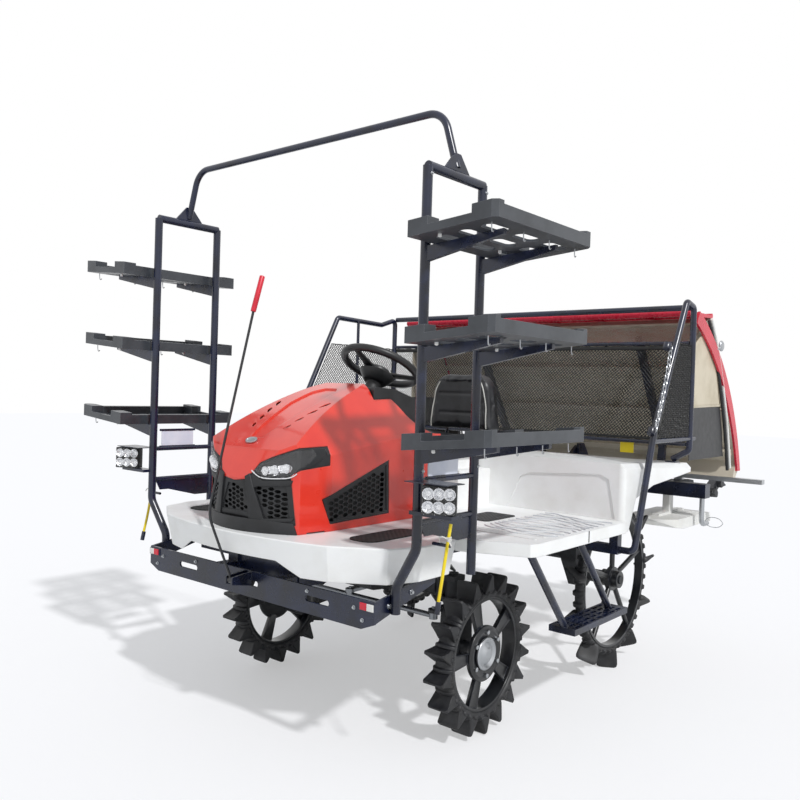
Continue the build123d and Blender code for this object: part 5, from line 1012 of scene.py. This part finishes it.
def bolts():
    """The bolts of the racks and the bumper, each set as one piece."""
    rack, bumper = [], []
    for side, _ in SIDES:
        for y in (-641, -320):
            for x, z in [(785, z - 16) for z in SHELF_LEVELS] + [(784, 2090), (784, 1112)]:
                rack.append(bolt((side * x, y, z), (side, 0, 0), 6))
        for x, z in ((330, 646), (560, 632), (600, 596)):
            bumper.append(bolt((side * x, BUMPER_FACE + 4, z), (0, -1, 0), 7))
        for y, z in ((-640, 640), (-520, 668)):
            bumper.append(bolt((side * 655, y, z), (side, 0, 0), 9))
    together(rack, "rack_bolts", "chassis", ZINC)
    together(bumper, "bumper_bolts", "chassis", ZINC)


def shelf_caps():
    """Round caps under the shelves' front edges, and the small hooks that hold a strap."""
    caps, hooks = [], []
    for side, _ in SIDES:
        for z in SHELF_LEVELS:
            for y in (-740, -560, -400, -225):
                cap = rod("cap", (side * 900, y, z + 6), (side * 900, y, z - 3), 6, 16)
                caps.append(stepped(cap, looks(Z, -0.9), (3, 2)))
                hooks.append(tube("hook", [(side * 1090, y + along, z + up) for along, up in (
                    (0, 22), (0, -3), (7, -8), (11, -2))], 1.9))
    together(caps, "shelf_caps", "chassis", WHITE)
    together(hooks, "shelf_hooks", "chassis", ZINC)


def chain():
    """A short chain that hangs along the left handrail."""
    link = ring("link", 8.5, 2.2, (14, 6))
    worked(link, bpy.ops.transform.resize, value=(1.0, 1.55, 1.0))
    top, foot = Vector((986, 935, 1606)), Vector((986, 788, 1236))
    pitch, sag = 21, 14
    count = int((top - foot).length / pitch)
    along = (foot - top).normalized().to_track_quat("Y", "Z").to_matrix().to_4x4()
    links = []
    for number in range(count + 1):
        place = top.lerp(foot, number / count)
        place.y += sag * math.sin(math.pi * number / count)
        links.append(copy_of(link, "link", Matrix.Translation(metres(*place)) @ along
                             @ Matrix.Rotation(math.pi / 2 * (number % 2) + 0.4, 4, "Y")))
    bpy.data.objects.remove(link)
    together(links, "handrail_chain", "chassis", ZINC)
    clips = [rounded(rod("clip", (SIDE_NET_X, y - 8, z - 14), (SIDE_NET_X, y + 8, z + 14), 18,
                         20), 2.0) for y, z in ((935, 1618), (786, 1226))]
    together(clips, "chain_clips", "chassis", NAVY)


def pole_grip():
    """A dipped red grip over the marker pole's top."""
    sleeve = rod("pole_grip", (0, -722, 1660), (0, -681, 1801), 10.5, 20)
    stepped(sleeve, looks(Z, 0.8), (3, 0))
    rounded(sleeve, 3.0, 3)
    ready(smooth(sleeve), "marker_pole", RED_GRIP)


def sight_rod(side, name):
    """A yellow sighting rod, held by a cord lashing and ending in a steel socket."""
    def path(*places):
        return [(side * x, y, z) for x, y, z in places]
    pole = tube("sight_rod_" + name, path((856, -574, 940), (853, -590, 850), (850, -610, 740),
                                          (852, -632, 656)), 5.6)
    ready(smooth(pole), "chassis", YELLOW)
    ties = [ring("tie", 7.8, 2.2, (18, 6), location=metres(side * 855, -581, 896 - 5 * turn),
                 rotation=(0.15, 0.1 * turn, 0)) for turn in range(3)]
    ties.append(tube("tie", path((855, -590, 892), (838, -598, 902), (826, -600, 892),
                                 (834, -600, 878)), 2.2))
    ties.append(tube("tie", path((856, -590, 890), (872, -600, 886), (880, -600, 872)), 2.2))
    together(ties, "rod_lashing_" + name, "chassis", FLOAT_WHITE)
    clip = rod("clip", *path((790, -582, 868), (862, -582, 868)), 6, 12)
    socket = rounded(rod("socket", *path((852, -630, 650), (851, -622, 690)), 9, 16), 1.5)
    together([clip, socket], "rod_clip_" + name, "chassis", NAVY)


def reflectors():
    """Plain red and white reflector strips on the bumper's ends, and blank tags on the rack."""
    for side, name in SIDES:
        for title, near, finish in (("reflector_red_", 592, RED_GRIP),
                                    ("reflector_white_", 623, FLOAT_WHITE)):
            low, high = sorted((side * near, side * (near + 30)))
            strip = block(title + name, (low, BUMPER_FACE - 3, 633), (high, BUMPER_FACE, 657))
            ready(stepped(strip, looks(Y, -0.9), (2, 1)), "chassis", finish)
        tag = block("blank_tag_" + name, (side * 770 - 1.5, -596, 1090),
                    (side * 770 + 1.5, -425, 1160))
        pick(tag, "EDGE", lambda place, run: abs(run.x) > 0.5 * run.length)
        bpy.ops.mesh.bevel(offset=0.006, segments=4)
        close(tag)
        ready(smooth(rounded(tag, 0.4, 1)), "chassis", TAG)
        holders = [rounded(block("holder", (side * 770 - 4, -606, z - 5),
                                 (side * 770 + 4, -415, z + 5)), 1.5) for z in (1086, 1162)]
        together(holders, "tag_holder_" + name, "chassis", NAVY)


# ------------------------------------------------------------------ seedling table's end
def table_ends():
    """Each end of the table: a beige panel, a black curtain, a trim, a lip and a knob."""
    arc = [(1630, 1800), (1700, 1718), (1790, 1560), (1880, 1380), (1960, 1180), (2010, 985)]
    for side, name in SIDES:
        def plate(title, x, thick, *corners):
            flat = outline(title + name, [(side * x, y, z) for y, z in corners])
            return rounded(thickened(flat, (side * thick, 0, 0)), 1.0, 2, 50)
        panel = plate("end_panel_", 917, 4, (1393, 1330), (1393, 1640), (1600, 1760),
                      (1680, 1690), (1790, 1500), (1850, 1340))
        ready(stepped(panel, both_ways(X), (12, -1.2)), "seedling_table", BEIGE)
        curtain = plate("end_curtain_", 914.5, 3, (1400, 1060), (1400, 1336), (1852, 1336),
                        (1900, 1200), (1930, 1060))
        ready(curtain, "seedling_table", VINYL)
        trim = tube("end_trim_" + name, [(side * 927, y - 26, z - 6) for y, z in arc], 9.0)
        ready(smooth(trim), "seedling_table", BLACK)
        lip = tube("end_lip_" + name, [(side * 930, y + 6, z + 4) for y, z in arc], 8.0, 3)
        ready(smooth(lip), "seedling_table", FLOAT_WHITE)
        stem = tube("stem", [(side * 926, 1690, 1640), (side * 938, 1735, 1652),
                             (side * 938, 1762, 1662)], 4.5)
        middle = (side * 936, 1785, 1672)
        knob = started("knob", bpy.ops.mesh.primitive_uv_sphere_add, segments=24,
                       ring_count=14, radius=0.030, location=metres(*middle))
        stretched(knob, (0.42, 1.0, 1.0), middle)
        stepped(knob, both_ways(X, 0.93), (3, -2))
        together([stem, knob], "end_knob_" + name, "seedling_table", ZINC)


def table_film():
    """A clear film stretched under the roof's rails, slack enough to crumple."""
    film = started("clear_roof_film", bpy.ops.mesh.primitive_grid_add, x_subdivisions=120,
                   y_subdivisions=22, size=1)
    for point in film.data.vertices:
        u, v = point.co.x + 0.5, point.co.y + 0.5
        fold = (math.sin(31 * u + 7 * v) * math.sin(9 * u - 3 * v) * 5
                + math.sin(83 * u + 19 * v * v) * 2.5 + math.sin(140 * u - 31 * v) * 1.2)
        fold *= min(1.0, 6 * min(u, 1 - u, v, 1 - v))
        point.co = metres(-905 + 1810 * u, 1400 + 230 * v + fold, 1660 + 128 * v - fold * 0.6)
    modify(film, "SOLIDIFY", thickness=0.0006, offset=0.0)
    ready(smooth(film, 60), "seedling_table", FILM)


def lower_rear():
    """A bright sleeve on each hook tube, a wire ring, and a plain yellow tag under the rail."""
    bend = [(2000 - 40 * math.cos(a), 695 - 40 * math.sin(a))
            for a in [TURN * n / 24 for n in range(7)]]
    hook = [(1960, 808), (1960, 750)] + bend + [(2052, 655)]
    ring_round = [TURN * n / 10 for n in range(11)]
    for side, name in SIDES:
        sleeve = tube("hook_sleeve_" + name, [(side * 800, y, z) for y, z in hook], 14.6, 4)
        wire = tube("wire_ring_" + name, [(side * (844 + 52 * math.cos(a)), 2040,
                                           664 + 30 * math.sin(a)) for a in ring_round], 2.0)
        for piece in (sleeve, wire):
            ready(smooth(piece), "planting_unit", ZINC)
    tag = block("spare_tag", (606, 1260, 1088), (680, 1263, 1143))
    stepped(tag, looks(Y, -0.9), (6, -0.8))
    ready(rounded(tag, 0.8, 2), "chassis", YELLOW)


def deck_details():
    """A joint line down the side deck's skirt, and the moulded swirls on the tread, in a darker
    blue-grey than the deck.
    """
    seams, swirls = [], []
    for side, _ in SIDES:
        seams.append(rounded(block("seam", (side * 951 - 1.5, 236, 790),
                                   (side * 951 + 1.5, 240, 836)), 0.5, 1))
        for number in range(11):
            start, phase = 8 + 50 * number, number * 0.55
            path = [(side * px, start + 30 * math.sin(px / 70 + phase)
                     + 9 * math.sin(px / 21 - 1.7 * phase), DECK_TOP)
                    for px in range(584, 931, 18)]
            swirls.append(tube("swirl", path, 2.6, 1))
    ready(joined(seams, "deck_seams"), "chassis", BLACK)
    together(swirls, "deck_swirl_ribs", "chassis", BLUE_GREY_RIB)


# ------------------------------------------------------------------ camera, light, floor
def camera():
    """The eye: a little over head height, off the machine's front left corner."""
    azimuth, pitch, roll = (math.radians(a) for a in EYE_TURN)
    ahead = Vector((-math.sin(azimuth) * math.cos(pitch), math.cos(azimuth) * math.cos(pitch),
                    -math.sin(pitch)))
    level = ahead.cross(Vector((0, 0, 1))).normalized()
    upright = level.cross(ahead)
    right = math.cos(roll) * level - math.sin(roll) * upright
    up = math.sin(roll) * level + math.cos(roll) * upright
    turn = Matrix((right, up, -ahead)).transposed().to_4x4()
    deselect()
    bpy.ops.object.camera_add()
    eye = bpy.context.object
    eye.data.sensor_width = 36.0
    eye.data.lens = 36.2
    eye.matrix_world = Matrix.Translation(metres(*EYE)) @ turn
    bpy.context.scene.camera = eye


def floor():
    """A pale floor that takes the shadow, and glows a little to the eye alone."""
    ground = started("floor", bpy.ops.mesh.primitive_plane_add, size=60)
    made, tree, shader, place = blank("pale_studio_floor")
    feed(shader, {"Base Color": mottled(tree, place, "F1F1F0", "EDEDEC", 900),
                  "Roughness": 0.85})
    path = node(tree, "LightPath")
    pale = node(tree, "BsdfDiffuse", {"Color": linear("C6C6C8")})
    glow = node(tree, "Emission", {"Color": linear("FFFFFF"), "Strength": 0.42})
    both = node(tree, "AddShader", {0: pale, 1: glow})
    mix = node(tree, "MixShader", {0: path.outputs["Is Camera Ray"], 1: shader, 2: both})
    out = [n for n in tree.nodes if n.bl_idname == "ShaderNodeOutputMaterial"][0]
    feed(out, {"Surface": mix})
    ground.data.materials.append(made)


def light():
    """A white surround that lights softly, and one soft sun from the machine's left."""
    world = bpy.data.worlds.new("studio")
    bpy.context.scene.world = world
    world.use_nodes = True
    tree = world.node_tree
    tree.nodes.clear()
    path = node(tree, "LightPath")
    seen = path.outputs["Is Camera Ray"]
    for kind in ("Is Transmission Ray", "Is Glossy Ray"):
        seen = node(tree, "Math", {0: seen, 1: path.outputs[kind]}, operation="MAXIMUM")
    lit = node(tree, "Background", {"Color": linear("F1F5FB"), "Strength": 0.52})
    shown = node(tree, "Background", {"Color": linear("FFFFFF"), "Strength": 1.0})
    mix = node(tree, "MixShader", {0: seen, 1: lit, 2: shown})
    node(tree, "OutputWorld", {"Surface": mix})
    deselect()
    bpy.ops.object.light_add(type="SUN", location=(4, -1, 5))
    sun = bpy.context.object
    sun.name = "soft_sun"
    sun.data.energy = 2.3
    sun.data.angle = math.radians(3.0)
    sun.rotation_euler = (-Vector((1.0, -0.38, 1.05))).to_track_quat("-Z", "Y").to_euler()


camera()
floor()
light()
front_wheels()
rear_wheels()
nets()
seat()
wheel_for_steering()
for side, name in SIDES:
    work_lamp(side, name)
    headlamp(side, name)
    sight_rod(side, name)
for piece, solid in (("lamp_housing_left", "work_lamps"), ("headlamp_shell_left", "headlamps"),
                     ("sight_rod_left", "sight_rods")):
    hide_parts(solid)
nose()
bolts()
shelf_caps()
chain()
pole_grip()
reflectors()
table_ends()
table_film()
lower_rear()
deck_details()

bpy.context.scene.view_settings.view_transform = "Standard"
